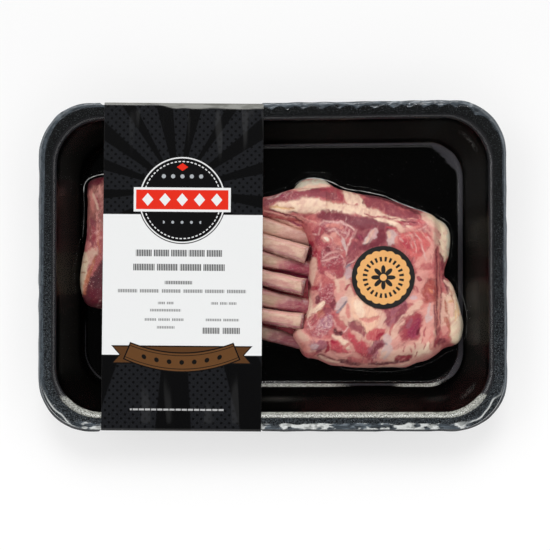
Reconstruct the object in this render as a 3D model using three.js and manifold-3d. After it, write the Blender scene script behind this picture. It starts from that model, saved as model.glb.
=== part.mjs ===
// A vacuum skin pack of lamb: two small trimmed racks lie in a deep tray with their rib
// bones laid between each other, a clear film is drawn over them and the tray, a printed
// band runs round the pack, and a round seal sits on the right-hand rack.
// Millimetres, +Z up. The origin is at the middle of the pack, on the surface it rests on.

import * as THREE from 'three';
import { mergeVertices } from 'three/addons/utils/BufferGeometryUtils.js';
import Module from 'manifold-3d';

const wasm = await Module();
wasm.setup();

// ---- Driving dimensions ----

const GAP = 0.3;                 // clearance between pieces that touch
const FILM_THICKNESS = 0.4;
const BAND_THICKNESS = 0.5;

const TRAY_LENGTH = 259;         // along X, over the rim
const TRAY_DEPTH = 181;          // along Y, over the rim
const TRAY_HEIGHT = 28;
const RIM_CORNER = 29;           // corner radius of the rim's outer edge
const FLOOR_CORNER = 13;         // corner radius where the floor starts
const FLOOR_INSET = 24;          // how far the floor's edge lies inside the rim's outer edge
const FLOOR_THICKNESS = 2.2;
const TRAY_BOTTOM = BAND_THICKNESS + GAP;
const RIM_TOP = TRAY_BOTTOM + TRAY_HEIGHT;
const FLOOR_TOP = TRAY_BOTTOM + FLOOR_THICKNESS;

const FILM_OVERHANG = 0.6;       // the film's trimmed edge past the rim

const RIGHT_TOP = 30;            // flat upper face of the right-hand rack
const LEFT_TOP = 27;             // the left-hand rack stays under the band
const MEAT_BOTTOM = FLOOR_TOP + GAP;

const BAND_WIDTH = 88.7;         // along X
const BAND_MIDDLE = -50;         // X of the band's middle
const BAND_TURN = -0.44;         // degrees, as wrapped slightly askew
const BAND_HALF_DEPTH = 92;      // inside, at the rim
const BAND_HALF_BASE = 71.2;     // inside, at the base

const SEAL_RADIUS = 17.5;
const SEAL_THICKNESS = 0.3;
const SEAL_MIDDLE = [61.6, -6.1];
const SEAL_SEAT = 30.9;          // underside of the film where the seal sticks

const CORNER_STEPS = 5;          // facets round one corner of the tray
const LONG_STEPS = 12;           // facets along one long side
const SHORT_STEPS = 8;           // facets along one short side
const MEAT_STEPS = 60;           // facets round a rack

// Sections as [inset from the rim's outer edge, height].
const TRAY_INSIDE = [
  [0.9, RIM_TOP], [6.4, RIM_TOP], [7.8, RIM_TOP - 0.4], [8.8, RIM_TOP - 1.3], [9.3, RIM_TOP - 2.6],
  [14.9, FLOOR_TOP + 13.2], [20.4, FLOOR_TOP + 3.2], [21.4, FLOOR_TOP + 1.4], [FLOOR_INSET, FLOOR_TOP],
];
const TRAY_OUTSIDE = [
  [FLOOR_INSET - 2, TRAY_BOTTOM], [FLOOR_INSET - 3.6, TRAY_BOTTOM + 1.8], [7.4, RIM_TOP - 3.8],
  [6, RIM_TOP - 2.2], [0.5, RIM_TOP - 2], [0, RIM_TOP - 1.2], [0.2, RIM_TOP - 0.4],
];

// Outlines seen from above, counter-clockwise, as [x, y].
const RIGHT_OUTLINE = [
  [11, -40], [14, -46.5], [28, -50.5], [46, -54.5], [66, -56], [84, -53], [96, -47], [104, -39],
  [106, -29], [104, -19], [98.5, -10.5], [95.2, -3], [96.8, 5], [99, 17], [95, 25], [82, 30.5],
  [66, 38.2], [50, 41.8], [36, 45.6], [29, 49.4], [20, 50], [13.5, 46.5], [10.5, 38], [15, 26],
  [20, 12], [19.8, -6], [19.5, -24], [13.5, -34],
];
const RIGHT_MIDDLE = [60, -4];
const LEFT_OUTLINE = [
  [-105.5, -17], [-102, -21.5], [-92, -24], [-72, -30], [-50, -37], [-32, -41], [-25, -38],
  [-22.5, -26], [-21.5, -8], [-22, 10], [-25, 24], [-31, 34], [-42, 42], [-60, 48], [-80, 50.8],
  [-97, 51.3], [-103.5, 47.5], [-104.4, 40], [-102.8, 26], [-103.4, 12], [-106.3, -2], [-107.2, -11],
];
const LEFT_MIDDLE = [-64, 6];

// Side of a rack as [share of the outline, share of the height], from the underside up and in.
const MEAT_SIDE = [
  [0.86, 0], [0.95, 0.06], [0.99, 0.2], [1, 0.4], [0.99, 0.62], [0.955, 0.82], [0.9, 0.94],
  [0.82, 1], [0.68, 1], [0.52, 1], [0.36, 1], [0.18, 1],
];

// Rib bones as root in the meat, middle and sawn tip, each [x, y, z], with half the width.
const RIBS = {
  rib_right_1: { path: [[30, 12.4, 16], [5, 20.4, 18], [-17, 27, 20.5]], half: 4.1 },
  rib_right_2: { path: [[30, -3, 16], [5, 2.4, 18], [-17, 7.4, 20.5]], half: 4.1 },
  rib_right_3: { path: [[30, -24.2, 16], [5, -19.5, 18], [-17, -14.6, 20.5]], half: 4.6 },
  rib_right_4: { path: [[24, -44.6, 13], [0, -38.2, 15.5], [-18, -33.4, 18]], half: 3.7 },
  rib_left_1: { path: [[-34, 21.4, 18], [-5.8, 14.2, 20.8], [19.3, 6.7, 23.2]], half: 4.5 },
  rib_left_2: { path: [[-34, 2, 18], [-5.8, -5.8, 20.8], [18, -11.4, 23.2]], half: 4.4 },
  rib_left_3: { path: [[-34, -20, 18], [-5.8, -27.2, 20.8], [17.4, -30.4, 23.2]], half: 4.2 },
};
const RIB_HALF_HEIGHT = 3;
const RIB_STATIONS = 8;
const RIB_SIDES = 12;
const RIB_FLARE = 0.1;           // how much wider a bone gets towards its tip

// Strip of flank left on the back of the right-hand rack: [x, y, z, half width, half height].
const FLANK = [
  [-26, 36.5, 15, 2.4, 3], [-14, 34.6, 16, 4.2, 4.5], [0, 35, 17, 6, 6], [14, 37, 17, 8, 8],
  [30, 36, 16, 8, 8],
];
const FLANK_SIDES = 12;

// Past the edge of a piece the film falls to the floor, as [distance past it, fall].
const FILM_DRAPE = [[0, 0], [2, 0], [4, 0.5], [5.5, 4], [7, 10], [8.5, 17], [10, 24]];
const DRAPE_DIRECTIONS = 24;
const DRAPE_CLEARANCE = 0.9;     // spare height over the pieces, for the facets between points
const STEEPEST_DRAPE = 2.5;      // fall for each millimetre, where the film's thickness is still kept

// Loops of the film inside the tray's floor, as [share of the contents' outline, distance past it].
const DRAPE_LOOPS = [[1, 10], [1, 4], [0.97, 0], [0.91, 0], [0.82, 0], [0.66, 0], [0.45, 0], [0.2, 0]];

// ---- Helpers ----

const point = (x, y, z) => new THREE.Vector3(x, y, z);
const mix = (a, b, share) => a + (b - a) * share;
const ease = (value, from, to) => THREE.MathUtils.smoothstep(value, from, to);
const planLength = (a, b) => Math.hypot(a.x - b.x, a.y - b.y);

// Closes a stack of loops, all with the same number of points, into one solid. The loops
// run counter-clockwise when seen from beyond the end of the stack. Each quad is split
// along the diagonal that is shorter from above, so that sheets above each other match.
function closedStack(loops, first, last) {
  const count = loops[0].length;
  const end = loops.length - 1;
  const points = [first, ...loops.flat(), last];
  const at = (loop, i) => 1 + loop * count + (i % count);
  const faces = [];
  for (let i = 0; i < count; i++) {
    faces.push(0, at(0, i + 1), at(0, i));
    for (let k = 0; k < end; k++) {
      const [a, b, c, d] = [at(k, i), at(k, i + 1), at(k + 1, i + 1), at(k + 1, i)];
      const acrossAC = planLength(points[a], points[c]) < planLength(points[b], points[d]);
      faces.push(...(acrossAC ? [a, b, c, a, c, d] : [a, b, d, b, c, d]));
    }
    faces.push(points.length - 1, at(end, i), at(end, i + 1));
  }
  const geometry = new THREE.BufferGeometry();
  const numbers = points.flatMap((p) => p.toArray());
  geometry.setAttribute('position', new THREE.Float32BufferAttribute(numbers, 3));
  geometry.setIndex(faces);
  geometry.computeVertexNormals();
  return geometry;
}

function toSolid(geometry) {
  const bare = geometry.clone();
  bare.deleteAttribute('normal');
  bare.deleteAttribute('uv');
  const merged = mergeVertices(bare);
  const vertProperties = new Float32Array(merged.attributes.position.array);
  const triVerts = new Uint32Array(merged.index.array);
  return new wasm.Manifold(new wasm.Mesh({ numProp: 3, vertProperties, triVerts }));
}

function toGeometry(solid) {
  const mesh = solid.getMesh();
  const geometry = new THREE.BufferGeometry();
  geometry.setAttribute('position', new THREE.BufferAttribute(mesh.vertProperties, 3));
  geometry.setIndex(new THREE.BufferAttribute(mesh.triVerts, 1));
  geometry.computeVertexNormals();
  return geometry;
}

// A level loop of the tray: a rounded rectangle at an inset from the rim's outer edge.
function trayLoop(inset, z) {
  const radius = mix(RIM_CORNER, FLOOR_CORNER, inset / FLOOR_INSET);
  const centreX = TRAY_LENGTH / 2 - inset - radius;
  const centreY = TRAY_DEPTH / 2 - inset - radius;
  const onArc = (corner, quarters) => {
    const right = corner % 4 === 0 || corner % 4 === 3;
    const back = corner % 4 < 2;
    const angle = quarters * (Math.PI / 2);
    const x = (right ? centreX : -centreX) + radius * Math.cos(angle);
    const y = (back ? centreY : -centreY) + radius * Math.sin(angle);
    return point(x, y, z);
  };
  const loop = [];
  for (let corner = 0; corner < 4; corner++) {
    for (let i = 0; i <= CORNER_STEPS; i++) loop.push(onArc(corner, corner + i / CORNER_STEPS));
    const from = loop[loop.length - 1];
    const to = onArc(corner + 1, corner + 1);
    const steps = corner % 2 === 0 ? LONG_STEPS : SHORT_STEPS;
    for (let i = 1; i < steps; i++) loop.push(from.clone().lerp(to, i / steps));
  }
  return loop;
}

// Moves a section to its left side by a distance, keeping its corners.
function offsetSection(section, distance) {
  return section.map(([inset, z], i) => {
    const before = section[Math.max(i - 1, 0)];
    const after = section[Math.min(i + 1, section.length - 1)];
    const along = new THREE.Vector2(after[0] - before[0], after[1] - before[1]).normalize();
    return [inset - along.y * distance, z + along.x * distance];
  });
}

// Evenly spaced points on the smooth closed curve through an outline's points.
function smoothOutline(outline, steps) {
  const curve = new THREE.CatmullRomCurve3(outline.map(([x, y]) => point(x, y, 0)), true);
  return curve.getSpacedPoints(steps).slice(0, steps);
}

function isInside(loop, x, y) {
  let inside = false;
  loop.forEach((a, i) => {
    const b = loop[(i + 1) % loop.length];
    const crosses = a.y > y !== b.y > y;
    if (crosses && x < a.x + ((y - a.y) / (b.y - a.y)) * (b.x - a.x)) inside = !inside;
  });
  return inside;
}

// ---- Tray ----

function trayGeometry() {
  const section = [...TRAY_OUTSIDE, ...TRAY_INSIDE];
  const loops = section.map(([inset, z]) => trayLoop(inset, z));
  return closedStack(loops, point(0, 0, TRAY_BOTTOM), point(0, 0, FLOOR_TOP));
}

// ---- Racks ----

// The right-hand rack: flat on top, falling away to its back, to the ribs, and over a
// crease to the fat at its right end.
function rightTop(x, y) {
  const back = 15 * ease(y, 20, 50);
  const front = 7 * ease(-y, 40, 58);
  const crease = 7 * ease(x, 89, 95);
  const ribSide = 4 * ease(-x, -30, -12);
  const ripple = 0.5 * Math.sin(x / 6.5) * Math.cos(y / 8);
  return RIGHT_TOP - Math.min(back + front + crease + ribSide, 16) + ripple;
}

function leftTop(x, y) {
  const back = 9 * ease(y, 24, 52);
  const front = 8 * ease(-y, 14, 42);
  const outer = 6 * ease(-x, 90, 108);
  const ripple = 0.5 * Math.sin(x / 7) * Math.cos(y / 9);
  return LEFT_TOP - Math.min(back + front + outer, 13) + ripple;
}

function rackSolid(outline, middle, topAt) {
  const rim = smoothOutline(outline, MEAT_STEPS);
  const centre = point(...middle, 0);
  const loops = MEAT_SIDE.map(([share, rise]) => rim.map((p) => {
    const place = centre.clone().lerp(p, share);
    return place.setZ(mix(MEAT_BOTTOM, topAt(place.x, place.y), rise));
  }));
  const low = centre.clone().setZ(MEAT_BOTTOM);
  const high = centre.clone().setZ(topAt(...middle));
  return toSolid(closedStack(loops, low, high));
}

// An oval section swept through stations of [x, y, z, half width, half height].
function sweptOval(stations, sides) {
  const places = stations.map(([x, y, z]) => point(x, y, z));
  const loops = places.map((place, i) => {
    const [, , , halfWidth, halfHeight] = stations[i];
    const before = places[Math.max(i - 1, 0)];
    const after = places[Math.min(i + 1, places.length - 1)];
    const along = after.clone().sub(before).normalize();
    const side = point(0, 0, 1).cross(along).normalize();
    const up = along.clone().cross(side);
    return Array.from({ length: sides }, (_, k) => {
      const angle = (k / sides) * Math.PI * 2;
      return place.clone()
        .addScaledVector(side, halfWidth * Math.cos(angle))
        .addScaledVector(up, halfHeight * Math.sin(angle));
    });
  });
  return closedStack(loops, places[0], places[places.length - 1]);
}

// ---- Rib bones ----

function ribStations({ path, half }, grow) {
  const curve = new THREE.QuadraticBezierCurve3(
    point(...path[0]),
    point(...path[1]).multiplyScalar(2).addScaledVector(point(...path[0]).add(point(...path[2])), -0.5),
    point(...path[2]),
  );
  const stretch = grow / curve.getLength();
  return Array.from({ length: RIB_STATIONS }, (_, i) => {
    const share = i / (RIB_STATIONS - 1);
    const place = curve.getPoint(share);
    const past = curve.getTangent(share).multiplyScalar((share - 0.5) * 2 * stretch * curve.getLength());
    const width = half * (1 + RIB_FLARE * (share - 0.5) * 2) + grow;
    return [...place.add(past).toArray(), width, RIB_HALF_HEIGHT + grow];
  });
}

function ribGeometry(rib, grow = 0) {
  return sweptOval(ribStations(rib, grow), RIB_SIDES);
}

// Cuts a clear pocket for every rib bone that reaches into a rack.
function withPockets(solid) {
  return Object.values(RIBS).reduce((rest, rib) => rest.subtract(toSolid(ribGeometry(rib, GAP))), solid);
}

function rightRackGeometry() {
  const flank = toSolid(sweptOval(FLANK, FLANK_SIDES));
  return toGeometry(withPockets(rackSolid(RIGHT_OUTLINE, RIGHT_MIDDLE, rightTop).add(flank)));
}

function leftRackGeometry() {
  return toGeometry(withPockets(rackSolid(LEFT_OUTLINE, LEFT_MIDDLE, leftTop)));
}

// ---- Film ----

// What the film is drawn over: each entry has its outline and the height of its top.
function contents() {
  const flank = FLANK.map(([x, y, , halfWidth]) => [x, y + halfWidth]);
  const under = FLANK.map(([x, y, , halfWidth]) => [x, y - halfWidth]).reverse();
  const bones = [[-34, 27], [-17, 32], [22, 20], [22, -42], [-18, -37], [-34, -26]];
  return [
    { loop: smoothOutline(RIGHT_OUTLINE, MEAT_STEPS), topAt: rightTop },
    { loop: smoothOutline(LEFT_OUTLINE, MEAT_STEPS), topAt: leftTop },
    { loop: bones.map(([x, y]) => point(x, y, 0)), topAt: (x) => 26.8 + 3.4 * ease(x, 2, 20) },
    { loop: [...flank, ...under].map(([x, y]) => point(x, y, 0)), topAt: () => 24 },
  ];
}

// Height that clears everything near a place, with the drape's fall beyond it.
function contentHeight(things, x, y) {
  let height = 0;
  for (const [reach, fall] of FILM_DRAPE) {
    for (let k = 0; k < DRAPE_DIRECTIONS; k++) {
      const angle = (k / DRAPE_DIRECTIONS) * Math.PI * 2;
      const sampleX = x + reach * Math.cos(angle);
      const sampleY = y + reach * Math.sin(angle);
      for (const { loop, topAt } of things) {
        if (isInside(loop, sampleX, sampleY)) height = Math.max(height, topAt(sampleX, sampleY) - fall);
      }
    }
  }
  return height;
}

// How far the contents reach from the middle of the tray in the direction of a place.
function reachTowards(things, place) {
  const away = point(place.x, place.y, 0).normalize();
  let reach = 0;
  for (const { loop } of things) {
    loop.forEach((a, i) => {
      const b = loop[(i + 1) % loop.length];
      const side = (p) => away.x * p.y - away.y * p.x;
      if (side(a) > 0 === side(b) > 0) return;
      const crossing = a.clone().lerp(b, side(a) / (side(a) - side(b)));
      reach = Math.max(reach, crossing.x * away.x + crossing.y * away.y);
    });
  }
  return reach;
}

// The film's lower side: over the rim, down the wall, and in over the contents.
function filmSheet(things) {
  const skirt = [-FILM_OVERHANG, RIM_TOP];
  const section = [skirt, ...offsetSection(TRAY_INSIDE, GAP)];
  const loops = section.map(([inset, z]) => trayLoop(inset, z));
  const floor = loops[loops.length - 1];
  for (const [k, [share, past]] of DRAPE_LOOPS.entries()) {
    loops.push(floor.map((edge) => {
      const widest = edge.length() * (1 - 0.015 * (k + 1));
      const reach = Math.min(reachTowards(things, edge) * share + past, widest);
      return point(edge.x, edge.y, 0).setLength(reach).setZ(edge.z);
    }));
  }
  const [sealX, sealY] = SEAL_MIDDLE;
  for (const place of loops.flat()) {
    const fromSeal = Math.hypot(place.x - sealX, place.y - sealY);
    const height = contentHeight(things, place.x, place.y) + DRAPE_CLEARANCE + GAP;
    place.z = Math.max(place.z, fromSeal < SEAL_RADIUS + 12 ? SEAL_SEAT : height);
  }
  return loops;
}

const steepness = (a, b) => Math.abs(a.z - b.z) / planLength(a, b);

// The upper side stands straight above the lower one, so the two never cross, and further
// above it where the film falls steeply, so that it keeps its thickness there.
function raised(loops) {
  return loops.map((loop, row) => loop.map((place, k) => {
    const beside = [loops[row - 1], loops[row + 1]].filter(Boolean);
    const slope = Math.min(STEEPEST_DRAPE, ...beside.map((other) => steepness(place, other[k])));
    return place.clone().setZ(place.z + FILM_THICKNESS * Math.hypot(1, slope));
  }));
}

function filmGeometry() {
  const things = contents();
  const under = filmSheet(things);
  const middleHeight = contentHeight(things, 0, 0) + DRAPE_CLEARANCE + GAP;
  const low = point(0, 0, middleHeight);
  const high = point(0, 0, middleHeight + FILM_THICKNESS);
  return closedStack([...under.toReversed(), ...raised(under)], low, high);
}

// ---- Printed band ----

function bandLoop(grow) {
  const top = RIM_TOP + 2 * GAP + FILM_THICKNESS + grow;
  const side = BAND_HALF_DEPTH + grow;
  const base = BAND_HALF_BASE + grow;
  const half = [
    [side - 0.8, top], [side, top - 0.8], [side, RIM_TOP - 3], [base, BAND_THICKNESS + 1.2 - grow],
    [base - 1.6, BAND_THICKNESS - grow],
  ];
  const mirrored = half.map(([y, z]) => [-y, z]).reverse();
  return [...half, ...mirrored].map(([y, z]) => new THREE.Vector2(y, z));
}

function bandGeometry() {
  const shape = new THREE.Shape(bandLoop(BAND_THICKNESS).reverse());
  shape.holes.push(new THREE.Path(bandLoop(0)));
  const geometry = new THREE.ExtrudeGeometry(shape, { depth: BAND_WIDTH, bevelEnabled: false });
  geometry.translate(0, 0, -BAND_WIDTH / 2);
  const turned = new THREE.Matrix4().makeBasis(point(0, 1, 0), point(0, 0, 1), point(1, 0, 0));
  return geometry.applyMatrix4(turned);
}

// ---- Assembly ----

const MATERIALS = {
  tray: { color: 0x0b0c0d, roughness: 0.45, metalness: 0 },
  film: { color: 0xdfe4e6, roughness: 0.12, metalness: 0, transparent: true, opacity: 0.3 },
  meat: { color: 0xb4636a, roughness: 0.4, metalness: 0 },
  bone: { color: 0xcbb39f, roughness: 0.45, metalness: 0 },
  band: { color: 0x1e1f21, roughness: 0.3, metalness: 0 },
  seal: { color: 0xe9ad6c, roughness: 0.5, metalness: 0 },
};

function named(name, geometry, material) {
  const mesh = new THREE.Mesh(geometry, new THREE.MeshStandardMaterial(MATERIALS[material]));
  mesh.name = name;
  return mesh;
}

const pack = new THREE.Group();
pack.add(named('tray', trayGeometry(), 'tray'));
pack.add(named('rack_right', rightRackGeometry(), 'meat'));
pack.add(named('rack_left', leftRackGeometry(), 'meat'));
for (const [name, rib] of Object.entries(RIBS)) pack.add(named(name, ribGeometry(rib), 'bone'));
pack.add(named('film', filmGeometry(), 'film'));

const band = named('band', bandGeometry(), 'band');
band.position.x = BAND_MIDDLE;
band.rotation.z = THREE.MathUtils.degToRad(BAND_TURN);
pack.add(band);

const sticker = new THREE.CylinderGeometry(SEAL_RADIUS, SEAL_RADIUS, SEAL_THICKNESS, 48);
const seal = named('seal', sticker, 'seal');
seal.rotation.x = Math.PI / 2;
seal.position.set(...SEAL_MIDDLE, SEAL_SEAT + FILM_THICKNESS + GAP + SEAL_THICKNESS / 2);
pack.add(seal);

export default pack;
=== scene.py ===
# %% [markdown]
# # A skin pack of lamb racks
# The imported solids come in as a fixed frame. They have the right sizes and places, so this
# lesson only makes the looks: fine meshes over the same named sizes, and a finish for each.
# Sizes are in millimetres and become metres when a mesh is made.

# %% Load the frame
import math
import bpy
import numpy as np
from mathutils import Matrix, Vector


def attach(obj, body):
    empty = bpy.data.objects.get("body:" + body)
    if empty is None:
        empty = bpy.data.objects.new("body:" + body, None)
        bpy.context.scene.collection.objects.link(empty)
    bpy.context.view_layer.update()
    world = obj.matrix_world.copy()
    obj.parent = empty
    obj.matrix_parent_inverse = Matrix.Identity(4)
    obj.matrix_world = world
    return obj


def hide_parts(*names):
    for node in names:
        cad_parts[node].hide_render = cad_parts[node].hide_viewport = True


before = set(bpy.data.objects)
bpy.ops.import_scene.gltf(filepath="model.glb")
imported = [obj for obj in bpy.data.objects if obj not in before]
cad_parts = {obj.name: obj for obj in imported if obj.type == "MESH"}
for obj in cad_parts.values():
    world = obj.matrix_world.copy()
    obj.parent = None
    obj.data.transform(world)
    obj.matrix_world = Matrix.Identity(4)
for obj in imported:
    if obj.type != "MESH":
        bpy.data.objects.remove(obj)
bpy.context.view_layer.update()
MM = 0.001
print("nodes:", sorted(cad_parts))

# %% [markdown]
# The camera looks almost straight down on the pack, from a metre above its rim and tipped a
# little towards the front edge. Its lens is worked out from the width that it has to show.

# %% Camera
RIM_TOP = 28.8
VIEW_WIDTH = 306.2
VIEW_DISTANCE = 1000.0
VIEW_TILT = math.radians(1.7)
VIEW_TARGET = (1.4, -4.7, RIM_TOP)

target = Vector(VIEW_TARGET) * MM
camera_data = bpy.data.cameras.new("camera")
camera_data.lens = camera_data.sensor_width * VIEW_DISTANCE / VIEW_WIDTH
camera = bpy.data.objects.new("camera", camera_data)
bpy.context.scene.collection.objects.link(camera)
camera.location = target + Vector((0, -math.sin(VIEW_TILT), math.cos(VIEW_TILT))) * VIEW_DISTANCE * MM
camera.rotation_mode = "QUATERNION"
camera.rotation_quaternion = (target - camera.location).to_track_quat("-Z", "Y")
camera_data.clip_start = 0.01
camera_data.clip_end = 40
bpy.context.scene.camera = camera
print("lens:", round(camera_data.lens, 1), "mm")

# %% [markdown]
# Finishes are written as expressions. `Socket` wraps one output of a node tree, and its
# operators add Math nodes, also where a plain number comes first.

# %% Sockets with arithmetic


class Socket:
    """One output socket, on which arithmetic adds nodes."""

    def __init__(self, finish, socket):
        self.finish = finish
        self.socket = socket

    def math(self, operation, *others):
        return self.finish.add("ShaderNodeMath", {"operation": operation}, [self, *others])

    def reflected(self, operation, other):
        return self.finish.add("ShaderNodeMath", {"operation": operation}, [other, self])

    def __add__(self, other):
        return self.math("ADD", other)

    def __sub__(self, other):
        return self.math("SUBTRACT", other)

    def __mul__(self, other):
        return self.math("MULTIPLY", other)

    def __truediv__(self, other):
        return self.math("DIVIDE", other)

    def __rsub__(self, other):
        return self.reflected("SUBTRACT", other)

    def __rtruediv__(self, other):
        return self.reflected("DIVIDE", other)

    __radd__ = __add__
    __rmul__ = __mul__

    def high(self, level, soft):
        """Goes from 0 to 1 as the value passes the level."""
        settings = {"interpolation_type": "SMOOTHSTEP"}
        return self.finish.add("ShaderNodeMapRange", settings, [self, level - soft, level + soft])

    def within(self, middle, half, soft):
        """1 where the value is within half of the middle."""
        return 1 - (self - middle).math("ABSOLUTE").high(half, soft)


print("arithmetic on sockets ready")

# %% [markdown]
# `Finish` holds a material and adds any other node from its type, its settings and what
# goes into its sockets. Colours are given as screen codes, and `layered` lays one over
# another, as a painter would.

# %% Finishes as expressions


def srgb(code):
    """Linear colour of a screen colour such as 'ecd3b8'."""
    parts = [int(code[i : i + 2], 16) / 255 for i in (0, 2, 4)]
    return (*[p / 12.92 if p < 0.04045 else ((p + 0.055) / 1.055) ** 2.4 for p in parts], 1)


class Finish:
    """A material whose shader is fed by expressions."""

    def __init__(self, name, **constants):
        self.material = bpy.data.materials.new(name)
        self.material.use_nodes = True
        self.tree = self.material.node_tree
        self.shader = self.tree.nodes["Principled BSDF"]
        self.feed(**constants)

    def put(self, socket, value):
        if isinstance(value, Socket):
            self.tree.links.new(value.socket, socket)
        else:
            socket.default_value = srgb(value) if isinstance(value, str) else value

    def add(self, kind, settings=None, inputs=(), output=0):
        node = self.tree.nodes.new(kind)
        for key, value in (settings or {}).items():
            setattr(node, key, value)
        pairs = inputs.items() if isinstance(inputs, dict) else enumerate(inputs)
        for key, value in pairs:
            self.put(node.inputs[key], value)
        return Socket(self, node.outputs[output])

    def feed(self, **values):
        for key, value in values.items():
            self.put(self.shader.inputs[key.replace("_", " ").title().replace("Ior", "IOR")], value)

    def mask(self, name):
        """A number that each point of the mesh carries."""
        return self.add("ShaderNodeAttribute", {"attribute_name": name}, output=2)

    def painted(self, name):
        """A colour that each point of the mesh carries."""
        return self.add("ShaderNodeAttribute", {"attribute_name": name}, output=0)

    def place(self):
        """Object coordinates, in metres."""
        return self.add("ShaderNodeTexCoord", output=3)

    def axes(self, place):
        split = self.add("ShaderNodeSeparateXYZ", {}, [place])
        outputs = split.socket.node.outputs
        return [Socket(self, outputs[k]) for k in range(3)]

    def noise(self, size, detail=3.0, roughness=0.5, stretch=(1, 1, 1)):
        """Noise from 0 to 1 with lumps about size millimetres wide."""
        scaled = self.add("ShaderNodeVectorMath", {"operation": "MULTIPLY"}, [self.place(), stretch])
        inputs = {"Vector": scaled, "Scale": 1 / (size * MM), "Detail": detail, "Roughness": roughness}
        return self.add("ShaderNodeTexNoise", {}, inputs)

    def blend(self, a, b, share):
        return self.add("ShaderNodeMix", {"data_type": "RGBA"}, {0: share, 6: a, 7: b}, output=2)

    def layered(self, colour, *layers):
        """Colours laid over a first one, each with the share that it covers."""
        for code, share in layers:
            colour = self.blend(colour, code, share)
        return colour

    def bump(self, height, distance, strength=1.0):
        inputs = {"Strength": strength, "Distance": distance * MM, "Height": height}
        return self.add("ShaderNodeBump", {}, inputs)


print("expression finishes ready")

# %% [markdown]
# A studio lights such a pack from a ring of softboxes, the largest behind its back edge.
# Here the sky is that ring: bright between a low and a high elevation, brighter towards
# the back, and dark overhead, so that level gloss has nothing above it to mirror. Two
# distant lights, at the back and at the left, give the shadows their direction.

# %% Lights
RING_MIDDLE, RING_HALF, RING_SOFT = 0.60, 0.24, 0.10
RING_STRENGTH, RING_BACK, REST_OF_SKY = 0.99, 0.60, 0.025
# name: (direction it comes from in degrees round Z, elevation, strength, angular size)
SOFTBOXES = {
    "back_box": (90, 54, 0.86, 24),
    "side_box": (160, 48, 0.26, 30),
}


class Dome(Finish):
    """The world's light, fed by expressions on the direction it comes from."""

    def __init__(self, name):
        world = bpy.data.worlds.new(name)
        world.use_nodes = True
        self.tree = world.node_tree
        self.shader = self.tree.nodes["Background"]
        bpy.context.scene.world = world


def softbox(name, azimuth, elevation, strength, size):
    light = bpy.data.lights.new(name, "SUN")
    light.energy = strength
    light.angle = math.radians(size)
    lamp = bpy.data.objects.new(name, light)
    a, e = math.radians(azimuth), math.radians(elevation)
    towards = Vector((math.cos(a) * math.cos(e), math.sin(a) * math.cos(e), math.sin(e)))
    lamp.rotation_mode = "QUATERNION"
    lamp.rotation_quaternion = towards.to_track_quat("Z", "Y")
    bpy.context.scene.collection.objects.link(lamp)


for name, facts in SOFTBOXES.items():
    softbox(name, *facts)

dome = Dome("studio")
_, towards_back, towards_sky = dome.axes(dome.add("ShaderNodeTexCoord", output=0))
ring_light = towards_sky.within(RING_MIDDLE, RING_HALF, RING_SOFT)
ring_strength = RING_STRENGTH + towards_back.high(0.1, 0.9) * RING_BACK
dome.feed(Strength=ring_light * ring_strength + REST_OF_SKY)
dome.feed(Color=(1, 1, 1, 1))
bpy.context.scene.view_settings.view_transform = "Standard"
print("softboxes:", len(SOFTBOXES), "and a ring")

# %% [markdown]
# The pack lies on a lit white table. The table glows by itself, so that it stays even, and
# also takes a soft, weak shadow. The glow falls off a little behind
# the pack. The table is the stage and no part of the object.

# %% Floor
TABLE_HALF_SIDE = 7.0
TABLE_BELOW = 0.0001
TABLE_GREY = (0.42, 0.42, 0.42, 1)
GLOW_NEAR, GLOW_FAR = (1, 1, 1, 1), (0.91, 0.91, 0.91, 1)
GLOW_STRENGTH = 0.59

sweep_mesh = bpy.data.meshes.new("sweep")
corners = [(a * TABLE_HALF_SIDE, b * TABLE_HALF_SIDE, -TABLE_BELOW)
           for a, b in ((-1, -1), (1, -1), (1, 1), (-1, 1))]
sweep_mesh.from_pydata(corners, [], [(0, 1, 2, 3)])
sweep = bpy.data.objects.new("sweep", sweep_mesh)
bpy.context.scene.collection.objects.link(sweep)
card = Finish("white_card", Roughness=0.8, Base_Color=TABLE_GREY, Specular_Ior_Level=0.0)
behind = card.axes(card.place())[1].high(0.07, 0.08)
card.feed(Emission_Color=card.blend(GLOW_NEAR, GLOW_FAR, behind), Emission_Strength=GLOW_STRENGTH)
sweep_mesh.materials.append(card.material)
print("table:", 2 * TABLE_HALF_SIDE, "m square")

# %% [markdown]
# Raw meat, bone and drawn film are uneven at every scale. Two small noise functions give
# that to the meshes. They are worked out from whole numbers, so each run gives the same.

# %% Noise for meshes


def lattice(ix, iy, seed):
    mixed = (ix * 374761393 + iy * 668265263 + seed * 362437) & 0x7FFFFFFF
    mixed = ((mixed ^ (mixed >> 13)) * 1274126177) & 0x7FFFFFFF
    return ((mixed ^ (mixed >> 16)) & 0xFFFF) / 65535.0


def noise(x, y, size, seed):
    """Smooth noise from -1 to 1 with lumps about size wide."""
    u, v = np.asarray(x) / size, np.asarray(y) / size
    iu, iv = np.floor(u).astype(np.int64), np.floor(v).astype(np.int64)
    fu, fv = u - iu, v - iv
    fu, fv = fu * fu * (3 - 2 * fu), fv * fv * (3 - 2 * fv)
    low = lattice(iu, iv, seed) * (1 - fu) + lattice(iu + 1, iv, seed) * fu
    high = lattice(iu, iv + 1, seed) * (1 - fu) + lattice(iu + 1, iv + 1, seed) * fu
    return (low * (1 - fv) + high * fv) * 2 - 1


def rough(x, y, size, seed, octaves=4):
    """Noise in several sizes, each half as wide and half as strong as the last."""
    return sum(noise(x, y, size / 2**k, seed + k) * 0.55**k for k in range(octaves))


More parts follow.
